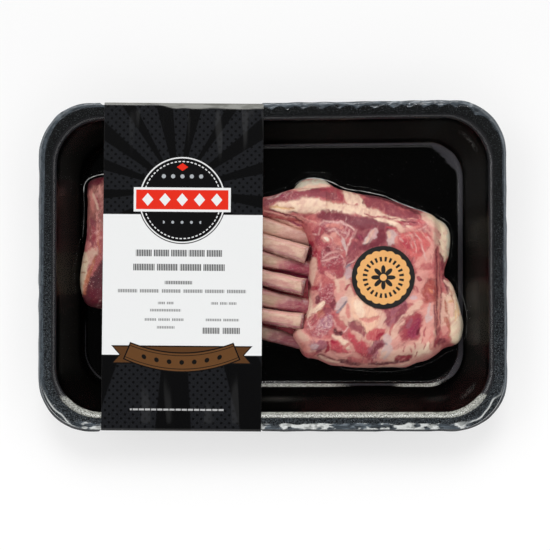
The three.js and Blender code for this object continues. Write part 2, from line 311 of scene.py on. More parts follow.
def cells(x, y, size, seed):
    """How close a place is to the border between random cells: 0 on it, growing inwards."""
    u, v = x / size, y / size
    iu, iv = np.floor(u).astype(np.int64), np.floor(v).astype(np.int64)
    near = np.full(u.shape, 9.0)
    second = near.copy()
    for du in (-1, 0, 1):
        for dv in (-1, 0, 1):
            cu, cv = iu + du, iv + dv
            distance = np.hypot(cu + lattice(cu, cv, seed) - u, cv + lattice(cu, cv, seed + 9) - v)
            second = np.minimum(second, np.maximum(near, distance))
            near = np.minimum(near, distance)
    return (second - near) * size


def ease(value, start, stop):
    t = np.clip((value - start) / (stop - start), 0, 1)
    return t * t * (3 - 2 * t)


print("noise sample:", np.round(rough(np.arange(3.0), np.zeros(3), 2.0, 1), 3))

# %% [markdown]
# Three helpers shape every mesh here: a smooth curve through chosen points, the quads of a
# grid of points, and a closed skin over a stack of loops.

# %% Curves and grids


def smooth_curve(points, count, closed=False):
    """Evenly spaced points on the smooth curve through some points."""
    p = np.array(points, float)
    n = len(p)
    spans = n if closed else n - 1
    t = np.linspace(0, spans, 60 * spans + 1)
    i = np.minimum(t.astype(int), spans - 1)
    f = (t - i)[:, None]
    at = (lambda k: p[(i + k) % n]) if closed else (lambda k: p[np.clip(i + k, 0, n - 1)])
    a, b, c, d = at(-1), at(0), at(1), at(2)
    curve = 0.5 * (2 * b + (c - a) * f + (2 * a - 5 * b + 4 * c - d) * f**2
                   + (3 * b - a - 3 * c + d) * f**3)
    steps = np.linalg.norm(np.diff(curve, axis=0), axis=1)
    length = np.concatenate([[0], np.cumsum(steps)])
    s = np.linspace(0, length[-1], count, endpoint=not closed)
    return np.column_stack([np.interp(s, length, curve[:, k]) for k in range(p.shape[1])])


def grid_faces(rows, columns, wrap_columns=True, wrap_rows=False):
    """Quads between the points of a grid that is stored row by row."""
    r = np.arange(rows if wrap_rows else rows - 1)[:, None]
    c = np.arange(columns if wrap_columns else columns - 1)[None, :]
    r2, c2 = (r + 1) % rows, (c + 1) % columns
    quads = [r * columns + c, r * columns + c2, r2 * columns + c2, r2 * columns + c]
    return np.stack(np.broadcast_arrays(*quads), axis=-1).reshape(-1, 4)


def stacked_skin(loops, first, last):
    """Points and faces of a closed skin over loops, from a first to a last middle point."""
    rows, columns = loops.shape[:2]
    points = np.vstack([loops.reshape(-1, 3), [first], [last]])
    quads = grid_faces(rows, columns).tolist()
    start = rows * columns
    ring = np.arange(columns)
    after = (ring + 1) % columns
    low = [[start, b, a] for a, b in zip(ring.tolist(), after.tolist())]
    top = (rows - 1) * columns
    high = [[start + 1, top + a, top + b] for a, b in zip(ring.tolist(), after.tolist())]
    return points, quads + low + high


print("mesh helpers ready")

# %% [markdown]
# Each mesh becomes a piece on the pack's one body. It carries the masks that its finish
# reads, and says which imported solids it replaces.

# %% Pieces


def make_piece(name, points, faces, masks=None, nodes=()):
    """A smooth mesh object in metres, with its masks, on the pack's one body."""
    mesh = bpy.data.meshes.new(name)
    mesh.from_pydata((np.asarray(points) * MM).tolist(), [], [list(f) for f in faces])
    mesh.shade_smooth()
    for key, values in (masks or {}).items():
        values = np.asarray(values, np.float32)
        if values.ndim == 2:
            attribute = mesh.attributes.new(key, "FLOAT_COLOR", "POINT")
            colours = np.column_stack([values, np.ones(len(values), np.float32)])
            attribute.data.foreach_set("color", colours.ravel())
        else:
            attribute = mesh.attributes.new(key, "FLOAT", "POINT")
            attribute.data.foreach_set("value", values)
    piece = bpy.data.objects.new(name, mesh)
    bpy.context.scene.collection.objects.link(piece)
    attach(piece, "root")
    if nodes:
        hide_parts(*nodes)
    print(name, len(mesh.polygons), "faces")
    return piece


print("piece maker ready")

# %% [markdown]
# The tray is pressed from black foamed plastic. Its section is a broad flange, a rounded
# lip, a steep wall and a small fillet at the floor. Loops of a rounded rectangle follow
# that section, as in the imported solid, with many more steps and softened corners. A pressed
# tray is never quite true, so the well lies a little nearer the back than the rim does, and
# the right half of the back rim is askew.

# %% Tray section
TRAY_LENGTH = 259.0
TRAY_DEPTH = 181.0
RIM_CORNER = 29.0
FLOOR_CORNER = 19.0
FLOOR_INSET = 24.0
TRAY_BOTTOM = 0.8
FLOOR_TOP = 3.0
WELL_SHIFT = 1.9
RIM_ASKEW = 1.5
TRAY_INSIDE = [
    (0.9, RIM_TOP), (6.4, RIM_TOP), (7.8, RIM_TOP - 0.4), (8.8, RIM_TOP - 1.3), (9.3, RIM_TOP - 2.6),
    (14.9, FLOOR_TOP + 13.2), (20.4, FLOOR_TOP + 3.2), (21.4, FLOOR_TOP + 1.4), (FLOOR_INSET, FLOOR_TOP),
]
TRAY_OUTSIDE = [
    (FLOOR_INSET - 2, TRAY_BOTTOM), (FLOOR_INSET - 3.6, TRAY_BOTTOM + 1.8), (7.4, RIM_TOP - 3.8),
    (6, RIM_TOP - 2.2), (0.5, RIM_TOP - 2), (0, RIM_TOP - 1.2), (0.2, RIM_TOP - 0.4),
]


def soften(section, times):
    """Cuts the corners of a section, again and again, and keeps its ends."""
    p = np.array(section, float)
    for _ in range(times):
        near, far = p[:-1] * 0.75 + p[1:] * 0.25, p[:-1] * 0.25 + p[1:] * 0.75
        cut = np.stack([near, far], 1).reshape(-1, 2)
        p = np.vstack([p[:1], cut, p[-1:]])
    return p


def tray_radius(inset):
    return RIM_CORNER + (FLOOR_CORNER - RIM_CORNER) * np.clip(inset / FLOOR_INSET, -0.2, 1)


def well_shift(x, y, inset):
    """How far the well, and the right half of the back rim, lie towards the back."""
    askew = np.clip((x + 5) / 105, 0, 1) * ease(y, 40, 85)
    return WELL_SHIFT * ease(inset, 6, 20) + RIM_ASKEW * askew


def tray_loop(inset, z, corner_steps=28, long_steps=90, short_steps=56):
    """Points of the rounded rectangle at an inset from the rim's outer edge."""
    radius = tray_radius(inset)
    cx, cy = TRAY_LENGTH / 2 - inset - radius, TRAY_DEPTH / 2 - inset - radius
    parts = []
    for corner, (sx, sy) in enumerate([(1, 1), (-1, 1), (-1, -1), (1, -1)]):
        angle = (corner + np.linspace(0, 1, corner_steps + 1)) * math.pi / 2
        arc = np.column_stack([sx * cx + radius * np.cos(angle), sy * cy + radius * np.sin(angle)])
        nx, ny = [(-1, 1), (-1, -1), (1, -1), (1, 1)][corner]
        turn = (corner + 1) * math.pi / 2
        end = np.array([nx * cx + radius * math.cos(turn), ny * cy + radius * math.sin(turn)])
        steps = long_steps if corner % 2 == 0 else short_steps
        share = np.linspace(0, 1, steps + 1)[1:-1, None]
        parts += [arc, arc[-1] * (1 - share) + end * share]
    x, y = np.vstack(parts).T
    return np.column_stack([x, y + well_shift(x, y, inset), np.full(len(x), z)])


inside = soften(TRAY_INSIDE, 3)
outside = soften(TRAY_OUTSIDE, 2)
section = np.vstack([outside, inside])
print("tray section points:", len(section))

# %% [markdown]
# One closed skin covers the tray: up the outside, over the flange, down the well and in
# over the floor. Each point keeps its inset from the rim, which the masks below are made of.

# %% Tray mesh
tray_loops = np.array([tray_loop(inset, z) for inset, z in section])
columns = tray_loops.shape[1]
floor_shares = [*np.linspace(0.99, 0.86, 14), 0.75, 0.5, 0.2]  # close together near the fillet
floor_loops = np.array([tray_loops[-1] * (k, k, 1) for k in floor_shares])
tray_loops = np.vstack([tray_loops, floor_loops])
tray_points, tray_faces = stacked_skin(tray_loops, (0, 0, TRAY_BOTTOM), (0, 0, FLOOR_TOP))

insets = np.concatenate([section[:, 0], np.full(len(floor_loops), FLOOR_INSET)])
OUTSIDE = -9.0
is_inside = np.arange(len(tray_loops)) >= len(outside)
inset = np.where(is_inside, insets, OUTSIDE)[:, None] * np.ones(columns)
x, y = tray_loops[..., 0], tray_loops[..., 1]
print("tray points:", len(tray_points))

# %% [markdown]
# Where light falls on the lip, the floor fillet and the wall is painted into the lining's colour,
# as painted sheen, painted reflections and painted sparkle. Each mask is a strip at an inset from
# the rim, cut off along x or y: painted sparkle on the lip and fillet at the front, a paler painted
# reflection on the fillet at the right, and painted patches of soft reflection on the walls.
# Slanted lines set off the corners.

# %% Lip and floor fillet


def strip(middle, half, soft=0.35):
    """1 on the tray's inside, within half of an inset from the rim."""
    return ease(half - np.abs(inset - middle), -soft, soft)


def past_slant(side, start, ragged, seed):
    """Millimetres past a ragged line across the back (1) or front (-1) right-hand corner."""
    return 0.71 * (x + side * y) - start + ragged * rough(x, y, 3.0, seed, 3)


# where the front fillet catches the light: (x, share)
CATCHES = np.array([(-98, 0.0), (-60, 0.2), (-6, 1.0), (30, 0.9), (50, 0.3), (62, 0.1), (74, 0.8),
                    (90, 0.9), (96, 0.5), (101, 0.45), (106, 0.3)])
well = ease(inset, 6.0, 6.6)
# painted sheen on the lip
lip = strip(7.6, 1.3)
front_lip = strip(7.8, 1.5) * ease(-y, 66, 75) * (0.75 + 0.25 * ease(x, -110, -90))
right_fillet = strip(22.3, 0.6 + 0.7 * ease(x, 98, 103)) * ease(x, -40, 20)
back_corner = strip(23.4, 2.0) * ease(past_slant(1, 114.0, 0.5, 25), -0.8, 0.6)
left_line = 0.75 * strip(22.9, 0.35) * ease(-y, 26, 34) * (x < -80)
# painted reflection on the floor fillet: at the right, in the back right corner and a thin line at the
# left
foot = np.maximum(np.maximum(right_fillet, back_corner), left_line)
front_fillet = strip(21.9, 1.0) * ease(-y, 47, 54) * np.interp(x, *CATCHES.T)
front_corner = 0.42 * strip(23.4, 2.0) * ease(past_slant(-1, 111.3, 0.6, 29), -0.8, 0.8)
# painted sparkle on the front lip, the front fillet and the front right corner
painted_sparkle = np.maximum(front_lip, np.maximum(front_fillet, front_corner))
print("frosted share of the points:", round(float((painted_sparkle > 0.5).mean()), 3))

# %% Painted reflections on the walls


def patch(value, middle, width):
    """A soft round patch of painted reflection."""
    return np.exp(-(((value - middle) / width) ** 2))


# painted reflections: a faint sheen over the walls, less at the front, and soft patches on the right-hand
# and front walls
painted_wall_sheen = 0.22 * strip(15.0, 4.5, 1.0) * (1 - 0.85 * ease(-y, 50, 66))
painted_front_reflection = strip(15.0, 0.6, 1.2) * ease(-y, 66, 70) * (patch(x, 2, 12) + 0.5 * patch(x, 92, 5))
painted_side_reflection = 0.75 * ease(21 - np.abs(y + 25), 0, 7) + 0.35 * ease(10 - np.abs(y - 20.5), 0, 5)
painted_side_reflection = painted_side_reflection * strip(16.5, 3.0, 2.0) * (x > 90) * (0.8 + 0.4 * rough(x, y, 9, 27, 3))
# painted sparkle: a dotted arc on the wall in the right-hand corners
arc = strip(12.8, 0.25) * ease(np.abs(x), 104, 110) * ease(np.abs(y), 64, 68) * (x > 0)
# painted sheen of the light: the rim is painted lighter towards the front and the front left, less on the
# outside wall
lit = ease(-y, -60, 84) * 0.8 + 0.2 * ease(-x, 100, 125) * ease(-y, -70, -20)
lit = lit * np.where(inset < OUTSIDE / 2, 0.4, 1)

tray_masks = {"well": well, "lip": lip, "foot": foot, "painted_sparkle": painted_sparkle,
              "glow": painted_wall_sheen + painted_side_reflection + painted_front_reflection, "arc": arc, "lit": lit}
tray_masks = {key: np.append(mask, [0, 0]) for key, mask in tray_masks.items()}
tray = make_piece("tray_shell", tray_points, tray_faces, tray_masks, ["tray"])

# %% [markdown]
# The flange shows the foam's cells as light specks on blue-black. Towards the front it is
# painted lighter, with more specks, as painted sheen. The well is lined with a smooth glossy
# film. On the lip, the floor fillet and the walls the light is painted into the lining's colour:
# a grey painted sheen, paler painted reflections and pale painted sparkles. Lip and fillet also
# get a fine bump.

# %% Tray finish
foam = Finish("black_foam", Specular_Ior_Level=0.2, Coat_Roughness=0.1)
grain = foam.noise(0.75, 2.0, 0.6)
cell_pattern = foam.noise(0.6, 2.0, 0.6)
specks = foam.noise(0.7, 2.0, 0.7).high(0.6, 0.04)
well_mask, lip_mask, foot_mask = foam.mask("well"), foam.mask("lip"), foam.mask("foot")
cells_lit = grain.high(0.52, 0.12)
# the rim's colour in shade, and its painted lit copy
rim_dark = foam.blend("020303", "101518", cells_lit)
rim_lit = foam.blend("0b0e11", "50585f", cells_lit)
lit_mask = foam.mask("lit")
# painted sheen: the lit copy of the rim and more specks where the lit mask is high
rim_colour = foam.layered(rim_dark, (rim_lit, lit_mask), ("8b9297", specks * (0.25 + lit_mask * 0.7)))
dust = foam.noise(0.9, 2.0).high(0.72, 0.03)
sparkle_colour = foam.blend("74756e", "d3d4cd", grain.high(0.5, 0.14))
lining = foam.layered(
    "020202",
    ("262527", dust * 0.6),
    # painted sheen on the lip
    ("323236", lip_mask * (0.6 + cell_pattern * 0.5)),
    # painted reflection on the floor fillet
    ("3c3b40", (foot_mask * 1.2 + cell_pattern - 0.8).high(0.5, 0.25)),
    # painted reflections on the walls
    ("3c3a37", foam.mask("glow") * 0.8),
    # painted sparkle at the front
    (sparkle_colour, (foam.mask("painted_sparkle") * 1.5 + cell_pattern - 0.9).high(0.5, 0.2)),
    # painted sparkle in the arcs of the right-hand corners
    ("b0b0ac", foam.mask("arc") * cell_pattern.high(0.58, 0.04)),
)
foam.feed(Base_Color=foam.blend(rim_colour, lining, well_mask))
foam.feed(Roughness=0.5 - well_mask * 0.3 + foot_mask * 0.4 + lip_mask * 0.35)
uncoated = (foot_mask + lip_mask * 0.8).math("MINIMUM", 1.0)
foam.feed(Coat_Weight=(0.02 + well_mask * 0.1) * (1 - uncoated))
foam_height = grain * (1 - well_mask) + cell_pattern * (lip_mask + foot_mask) * 1.2 + cell_pattern * 0.02
foam.feed(Normal=foam.bump(foam_height, 0.16))
tray.data.materials.append(foam.material)
print("foam finish ready")

# %% [markdown]
# A rack is muscle, fat, silver skin and sawn spine. Each kind of tissue here has a colour,
# a share of fat, and how far it is spongy sawn bone.

# %% Tissue kinds
# name = (colour, fat, sponge)
LEAN = ("a4424d", 0.10, 0.0)
ROSE = ("ba5f60", 0.30, 0.1)
SALMON = ("d46866", 0.15, 0.0)
RED = ("bd4350", 0.05, 0.0)
CRIMSON = ("9c1f38", 0.00, 0.0)
BLOOD = ("651428", 0.00, 0.0)
MAGENTA = ("92294a", 0.00, 0.2)
WARM = ("a94c44", 0.05, 0.2)
ORANGE = ("d27f5c", 0.30, 0.0)
MUSCLE = ("924751", 0.00, 0.0)
DEEP = ("7a313d", 0.00, 0.0)
DARK = ("54202b", 0.00, 0.0)
PURPLE = ("a05b68", 0.05, 0.1)
SPONGE = ("a34552", 0.10, 1.0)
LILAC = ("a67284", 0.30, 1.0)
PINK = ("d6867c", 0.50, 0.0)
BLUSH = ("e09f93", 0.70, 0.0)
PALE = ("e4b9a5", 0.85, 0.0)
CREAM = ("f8dac0", 1.00, 0.0)
WHITE = ("f8ecd8", 1.00, 0.0)
PEACH = ("f4c6a9", 0.95, 0.0)
# grey fat; along the right-hand outline it is laid as painted shade
GREY_FAT_AND_SHADE = ("c4c0ac", 1.00, 0.0)
IVORY = ("e6d1b3", 1.00, 0.0)
SILVER = ("d4b7b2", 0.70, 0.0)
LAVENDER = ("cdaeb0", 0.50, 0.1)
GREY = ("85818a", 0.40, 0.0)
THREAD = ("e2b5ad", 0.80, 0.0)
STAIN = ("dfb585", 0.90, 0.0)
BROWN = ("a85f48", 0.40, 0.0)
SHELL = ("966057", 0.35, 0.0)
print("leanest kinds:", DEEP, DARK, BLOOD)

# %% [markdown]
# Soft strokes paint those kinds over the mesh, one over another, as a painter blocks in a
# still life. Noise moves the edge of each stroke in and out, less for fat than for lean,
# because they never meet along a smooth line. At the end fat and lean creep into each other
# in veins and flecks.

# %% Soft strokes


def line_distance(x, y, points):
    """Distance of each place from a line of points, and how far along the line that is."""
    best, along = np.full(x.shape, 1e9), np.zeros(x.shape)
    for k, ((ax, ay), (bx, by)) in enumerate(zip(points[:-1], points[1:])):
        dx, dy = bx - ax, by - ay
        t = np.clip(((x - ax) * dx + (y - ay) * dy) / (dx * dx + dy * dy), 0, 1)
        distance = np.hypot(x - ax - t * dx, y - ay - t * dy)
        along = np.where(distance < best, (k + t) / (len(points) - 1), along)
        best = np.minimum(best, distance)
    return best, along


def slanted(x, y):
    """Distance across the grain of the muscle, which leans another way in each part."""
    lean = 0.75 - 0.55 * ease(x, 30, 55)
    lean = lean - 0.7 * ease(x, 60, 74) * ease(y, -6, 6)
    lean = lean + 0.8 * ease(x, 48, 62) * ease(-y, 14, 26)
    return x - (y - 20) * lean


class Tissue:
    """Colour, fat and sponge of each point of a piece of meat, and how far it stands proud."""

    def __init__(self, x, y, base, seed, warp=0.6):
        self.x = x + warp * (rough(x, y, 7.0, seed, 5) + 0.45 * rough(x, y, 1.9, seed + 10, 2))
        self.y = y + warp * (rough(x, y, 7.0, seed + 20, 5) + 0.45 * rough(x, y, 1.9, seed + 30, 2))
        self.fibrous = rough(slanted(x, y) / 0.9, y / 2.6, 1.7, seed + 64, 4)
        self.ragged = 0.55 * rough(x, y, 3.6, seed + 60, 5) + 0.6 * self.fibrous
        self.state = np.tile(self.values(base), (len(x), 1))
        self.lift = np.zeros(len(x))

    def values(self, kind):
        code, fat, sponge = kind
        return np.array([*srgb(code)[:3], fat, sponge])

    def lay(self, kind, share):
        self.state += share[:, None] * (self.values(kind) - self.state)

    def stroke(self, kind, width, points, lift):
        """A line of one kind, thinner at its ends, with a ragged core and a soft halo."""
        distance, along = line_distance(self.x, self.y, points)
        half = width * (1.1 - 0.45 * (2 * along - 1) ** 4)
        jagged = min(1.5, 0.15 + 0.38 * width) * (1 - 0.5 * kind[1])
        edge = distance + self.ragged * jagged
        soft = 0.2 + 0.11 * width
        core, halo = ease(edge, half + soft, half - soft), ease(edge, half + 3.0 * soft, half - soft)
        if width < 0.6:
            core = core * ease(self.ragged, -0.9, 0.2)
        self.lay(kind, (0.62 * core + 0.33 * halo) * np.clip(1 + 0.35 * self.fibrous, 0.6, 1))
        self.lift += core * (lift - self.lift)

    def marble(self, seed):
        """Fat and lean creep into each other in veins and flecks, along the grain."""
        x, y = self.x, self.y
        lean = 1 - ease(self.state[:, 3], 0.35, 0.8)
        slant = slanted(x, y)
        veins = 1 - ease(np.abs(rough(slant / 1.5, y / 2.6, 2.6, seed, 4)), 0.0, 0.16)
        flecks = ease(rough(slant / 1.2, y / 1.8, 2.2, seed + 9, 4), 0.25, 0.8)
        some = ease(rough(x, y, 11, seed + 13, 2), -0.6, 0.5)
        pale = 0.12 + 0.88 * ease(self.state[:, 0], 0.22, 0.4)
        self.lay(PINK, lean * pale * veins * some * 0.4)
        self.lay(BLUSH, lean * pale * flecks * some * 0.3)
        dark = ease(rough(slant / 1.2, y / 2.0, 2.6, seed + 17, 4), 0.3, 0.9)
        self.lay(DEEP, lean * dark * 0.22)
        blots = ease(rough(slant / 1.3, y / 1.6, 3.0, seed + 27, 5), 0.3, 0.9)
        self.lay(ROSE, (1 - lean) * blots * 0.28)


print("soft strokes ready")

# %% [markdown]
# The right-hand rack shows the spongy sawn spine at its left, the layers of the back along
# its back edge, mixed fat and lean in the middle and a rim of cream fat at its right. Such
# a pattern follows no rule, so it is painted with strokes given one by one. Each stroke has a
# kind, a half width, a line and a lift: fat stands a little proud of lean.

# %% Ground strokes
RIGHT_STROKES = [
    (BLUSH, 7, [(20, -44), (36, -48), (56, -51), (78, -49), (90, -44)], 0),
    (PALE, 8, [(44, -24), (54, -31), (64, -40), (78, -42), (86, -36)], 0.2),
    (PINK, 6, [(84, -2), (86, -16), (86, -34)], 0.1),
    (BLUSH, 4, [(76, -18), (82, -14), (84, -4)], 0.1),
    (PALE, 3.4, [(37, -4), (40, -12), (43, -20)], 0.2),
    (BLUSH, 3.6, [(22, 3), (22, -10), (21, -28)], 0.2),
    (BLUSH, 5, [(12, -38), (17, -44)], 0.3),
    (MUSCLE, 6, [(30, 27), (44, 23), (58, 21), (64, 15)], -0.2),
    (MUSCLE, 4, [(46, 8), (52, 14), (60, 14)], -0.2),
]
print("strokes so far:", len(RIGHT_STROKES))

# %% [markdown]
# Along the back edge lie the rack's layers: the back muscle, seams of cream fat and silver
# skin, and dark meat where they come down to the spine.

# %% Layers of the back
RIGHT_STROKES += [
    (CREAM, 3, [(42.7, 41.6), (44.5, 38.5), (47.6, 37)], 0.4),
    (MUSCLE, 2.9, [(3.6, 38.5), (9, 39.4), (14.6, 40.3), (21, 41.5), (27.4, 41.5), (33.8, 40.2),
        (37.7, 39.3)], -0.2),
    (LEAN, 1.3, [(27.4, 44.1), (32.8, 43.8), (37.7, 42), (38.8, 38.5)], -0.1),
    (MUSCLE, 1.4, [(-4.9, 35.3), (-1.7, 37), (2.6, 38.5)], 0),
    (GREY_FAT_AND_SHADE, 2.6, [(14.3, 45), (16.8, 46.1), (22.1, 47.5)], 0.7),
    (GREY_FAT_AND_SHADE, 1.9, [(22.1, 47.9), (27.4, 48), (32, 47.3)], 0.6),
    (IVORY, 1.1, [(14.6, 43.6), (20, 45), (26, 45.8)], 0.6),
    (PALE, 0.8, [(11.8, 44), (16.8, 44.1), (22.1, 45.6), (27.4, 46.4), (32.8, 46.1)], 0.4),
    (SILVER, 0.45, [(-2.7, 38.5), (0.8, 39.3), (6.1, 41.5)], 0.2),
    (MAGENTA, 0.7, [(4.4, 40.1), (6.5, 40.1)], 0),
    (CREAM, 3, [(0, 32.9), (9, 33.4), (15, 34.2)], 0.6),
    (CREAM, 3.8, [(12, 33.8), (20.5, 34.2), (28, 33.8)], 0.7),
    (CREAM, 2.9, [(26, 33.6), (36.3, 33), (46.9, 31.8)], 0.6),
    (CREAM, 2.3, [(45, 31.8), (53, 30.4), (60, 28.9)], 0.5),
    (CREAM, 0.9, [(60, 28.9), (68, 26.8), (75, 25.8)], 0.4),
    (STAIN, 0.6, [(-1.7, 33.7), (2.6, 33.8), (7.5, 33.1), (11.8, 32.6)], 0.3),
    (BROWN, 0.3, [(2, 34.9), (2.6, 34.7)], 0.3),
    (BROWN, 0.35, [(9.7, 33.5), (11.5, 32.8)], 0.2),
    (LEAN, 0.8, [(-3.8, 32.1), (2.6, 31), (9.7, 28.9), (16.8, 26.7), (23.2, 25.7)], -0.2),
    (BLUSH, 0.5, [(-5.2, 32.4), (-1, 31), (6.1, 29.2), (13.2, 27.5), (19.6, 25.3)], 0.2),
    (BLUSH, 0.45, [(10.4, 29), (16.1, 27.6), (23.2, 25.3), (24.9, 24.3)], 0.3),
    (BLOOD, 0.3, [(-2.7, 32.4), (4.4, 31), (11.8, 28), (18.9, 23.9)], -0.4),
    (BLOOD, 0.3, [(9.3, 31), (11.8, 30.5), (13.9, 30.1)], -0.4),
    (CREAM, 1.7, [(48, 40.8), (48.6, 36.5), (51.1, 33.4)], 0.4),
    (MUSCLE, 3.1, [(52.7, 37.3), (57.8, 35.6), (64, 33.2)], -0.3),
    (MUSCLE, 3.2, [(64, 33.2), (69.5, 30.9)], -0.3),
    (MUSCLE, 2.3, [(69.5, 30.3), (74.9, 28.7), (80.8, 27.7)], -0.3),
    (DARK, 0.8, [(50.7, 40.8), (57.8, 40), (64, 38.1), (71, 35), (78.9, 31.5), (85.1, 28.7)], -0.3),
    (BLUSH, 0.3, [(74.9, 27.1), (78.9, 26.8), (82, 26.2)], 0.3),
    (CRIMSON, 0.45, [(50.7, 29.8), (55.4, 28.3), (64, 27.1), (69.5, 26.7)], -0.2),
    # dark meat beside the spine
    (DEEP, 2.8, [(26, 28.1), (31, 28.1), (38.1, 27), (43.4, 25.3), (47.6, 24.4)], -0.3),
    (DEEP, 1.7, [(47.6, 26.8), (53.5, 26.4), (59.3, 25.2)], -0.2),
    (DEEP, 2.5, [(47.6, 23.6), (53.5, 23.4), (59.3, 23.1), (64, 22.5), (66.7, 20.5)], -0.3),
    (CREAM, 0.8, [(57, 26.8), (62.4, 25.9), (67.1, 24.7), (69.5, 22.9)], 0.4),
    (CREAM, 1.3, [(64, 25.2), (67.5, 24), (70, 22)], 0.4),
    (PALE, 1.8, [(69.4, 22.8), (71.4, 20.8), (73, 20)], 0.4),
    (LEAN, 1.9, [(71.8, 24.2), (75.7, 23.4), (80.8, 22.7), (84.7, 22.5)], -0.1),
    (BLOOD, 0.3, [(71, 25.8), (74.9, 25), (80.8, 24.4)], -0.2),
    (RED, 1.1, [(82.4, 26), (85.1, 24)], 0),
    (CREAM, 0.5, [(74.6, 22), (78.9, 21.3)], 0.3),
    (DEEP, 1.7, [(47.6, 17), (49.6, 16)], -0.2),
    (MAGENTA, 0.9, [(48.4, 17.4), (49.6, 15.4)], -0.3),
    (SILVER, 1.9, [(57.5, 19.5), (54.5, 16), (51.5, 13.2)], 0.2),
    (PALE, 0.7, [(56.3, 19.4), (54, 16), (52, 13.5)], 0.3),
    (LAVENDER, 0.8, [(58.6, 18.8), (57, 15.4)], 0.2),
    (DEEP, 1.8, [(60.7, 19.3), (60.3, 16.2), (59.1, 12.3)], -0.3),
    (DEEP, 1.4, [(49.2, 10.4), (53.9, 11.7), (58.5, 12.1)], -0.3),
    (SILVER, 2.6, [(66.3, 18.6), (66, 15), (65.2, 12.4)], 0.3),
    (PALE, 0.8, [(64.6, 18.8), (64.3, 15.6)], 0.3),
    (PINK, 1, [(68.4, 16.5), (68, 12.6)], 0.2),
    (RED, 0.6, [(64, 22.1), (67.1, 20.9), (67.9, 19.3)], 0),
]
print("strokes so far:", len(RIGHT_STROKES))

# %% [markdown]
# The right end is salmon-coloured lean with fine threads in it, and a thick rim of fat.

# %% The right end
RIGHT_STROKES += [
    (SALMON, 6.2, [(73.4, 14), (78.9, 13.3), (82.8, 15.2), (86.3, 14.4)], 0.1),
    (SALMON, 4.4, [(75.7, 10.7), (81.2, 8), (82, 5.3)], 0.1),
    (RED, 1.4, [(71.8, 14.6), (74.2, 12.3), (74.9, 10)], 0),
    (BLUSH, 0.9, [(74.6, 19.7), (78.1, 20.3), (81.2, 19.3)], 0.3),
    (PINK, 0.7, [(74.6, 17.2), (78.5, 16.6)], 0.3),
    (LEAN, 1.4, [(82, 20.1), (86.7, 19.7), (89.8, 16.2)], 0),
    (PINK, 1.6, [(89.4, 19.3), (90.6, 14.6), (90.2, 10.4)], 0.1),
    (BLUSH, 1.6, [(86.7, 6.8), (89, 9.6), (90.2, 12.3)], 0.1),
    (BLUSH, 2.6, [(80.4, 1), (84.7, 2.5), (88.2, 6.4)], 0.2),
    (ROSE, 1.6, [(82.8, -1), (88.2, 0.2)], 0.1),
    (THREAD, 0.35, [(79.4, 18), (82.5, 13.5), (84.6, 7.6), (85.6, 3.6)], 0.3),
    (BLUSH, 0.4, [(82.6, 19.5), (87, 14.6), (90.4, 9.2)], 0.3),
    (THREAD, 0.25, [(76.4, 17.6), (79.2, 11.6), (80.4, 7)], 0.2),
    (BLUSH, 0.35, [(85.4, 20.4), (89.6, 16.2), (92.2, 12)], 0.3),
    (THREAD, 0.25, [(76.1, 12.7), (77.5, 10)], 0.2),
    (THREAD, 0.25, [(70.3, 16.2), (72, 13.9)], 0.2),
    (THREAD, 0.25, [(86.3, 17), (88.6, 13.1)], 0.2),
    (THREAD, 0.25, [(81.6, 19.7), (83.9, 21.3), (85.9, 22.5)], 0.3),
    (PALE, 3.2, [(86, 29), (90, 25), (93, 20), (93.5, 14)], 0.3),
    (IVORY, 3.2, [(89, 28.4), (94.2, 24.6), (97.4, 19.8), (97.8, 14.6), (97.4, 8.8), (96.4, 4.5)], 0.6),
    # painted shade: greyer fat along the outline, where the fat turns down to the side
    (GREY_FAT_AND_SHADE, 1.6, [(92.6, 28), (98.2, 24.4), (100.2, 19.6), (100.4, 13), (99.6, 7)], 0.5),
    (PALE, 1.6, [(85.1, 27.2), (88.2, 24.8), (91.4, 21.7)], 0.3),
    (BLUSH, 0.9, [(88.2, 22.5), (92.5, 19.3), (94.1, 15.4)], 0.2),
    (BLOOD, 0.25, [(92.9, 19.9), (93.1, 19.1)], 0),
    (BLOOD, 0.25, [(94.1, 18.6), (94.1, 17.4)], 0),
    (BLOOD, 0.22, [(93.5, 13.9), (94.1, 11.7)], 0),
    (DEEP, 1.2, [(94.3, 6.4), (95.7, 3.3), (95.5, -1)], -0.1),
    (DEEP, 0.35, [(92.5, 10.7), (91.7, 8.4), (91.7, 4.5)], -0.4),
]
print("strokes so far:", len(RIGHT_STROKES))

# %% [markdown]
# The spine was sawn through, so its spongy bone shows, with pale threads of skin round it.

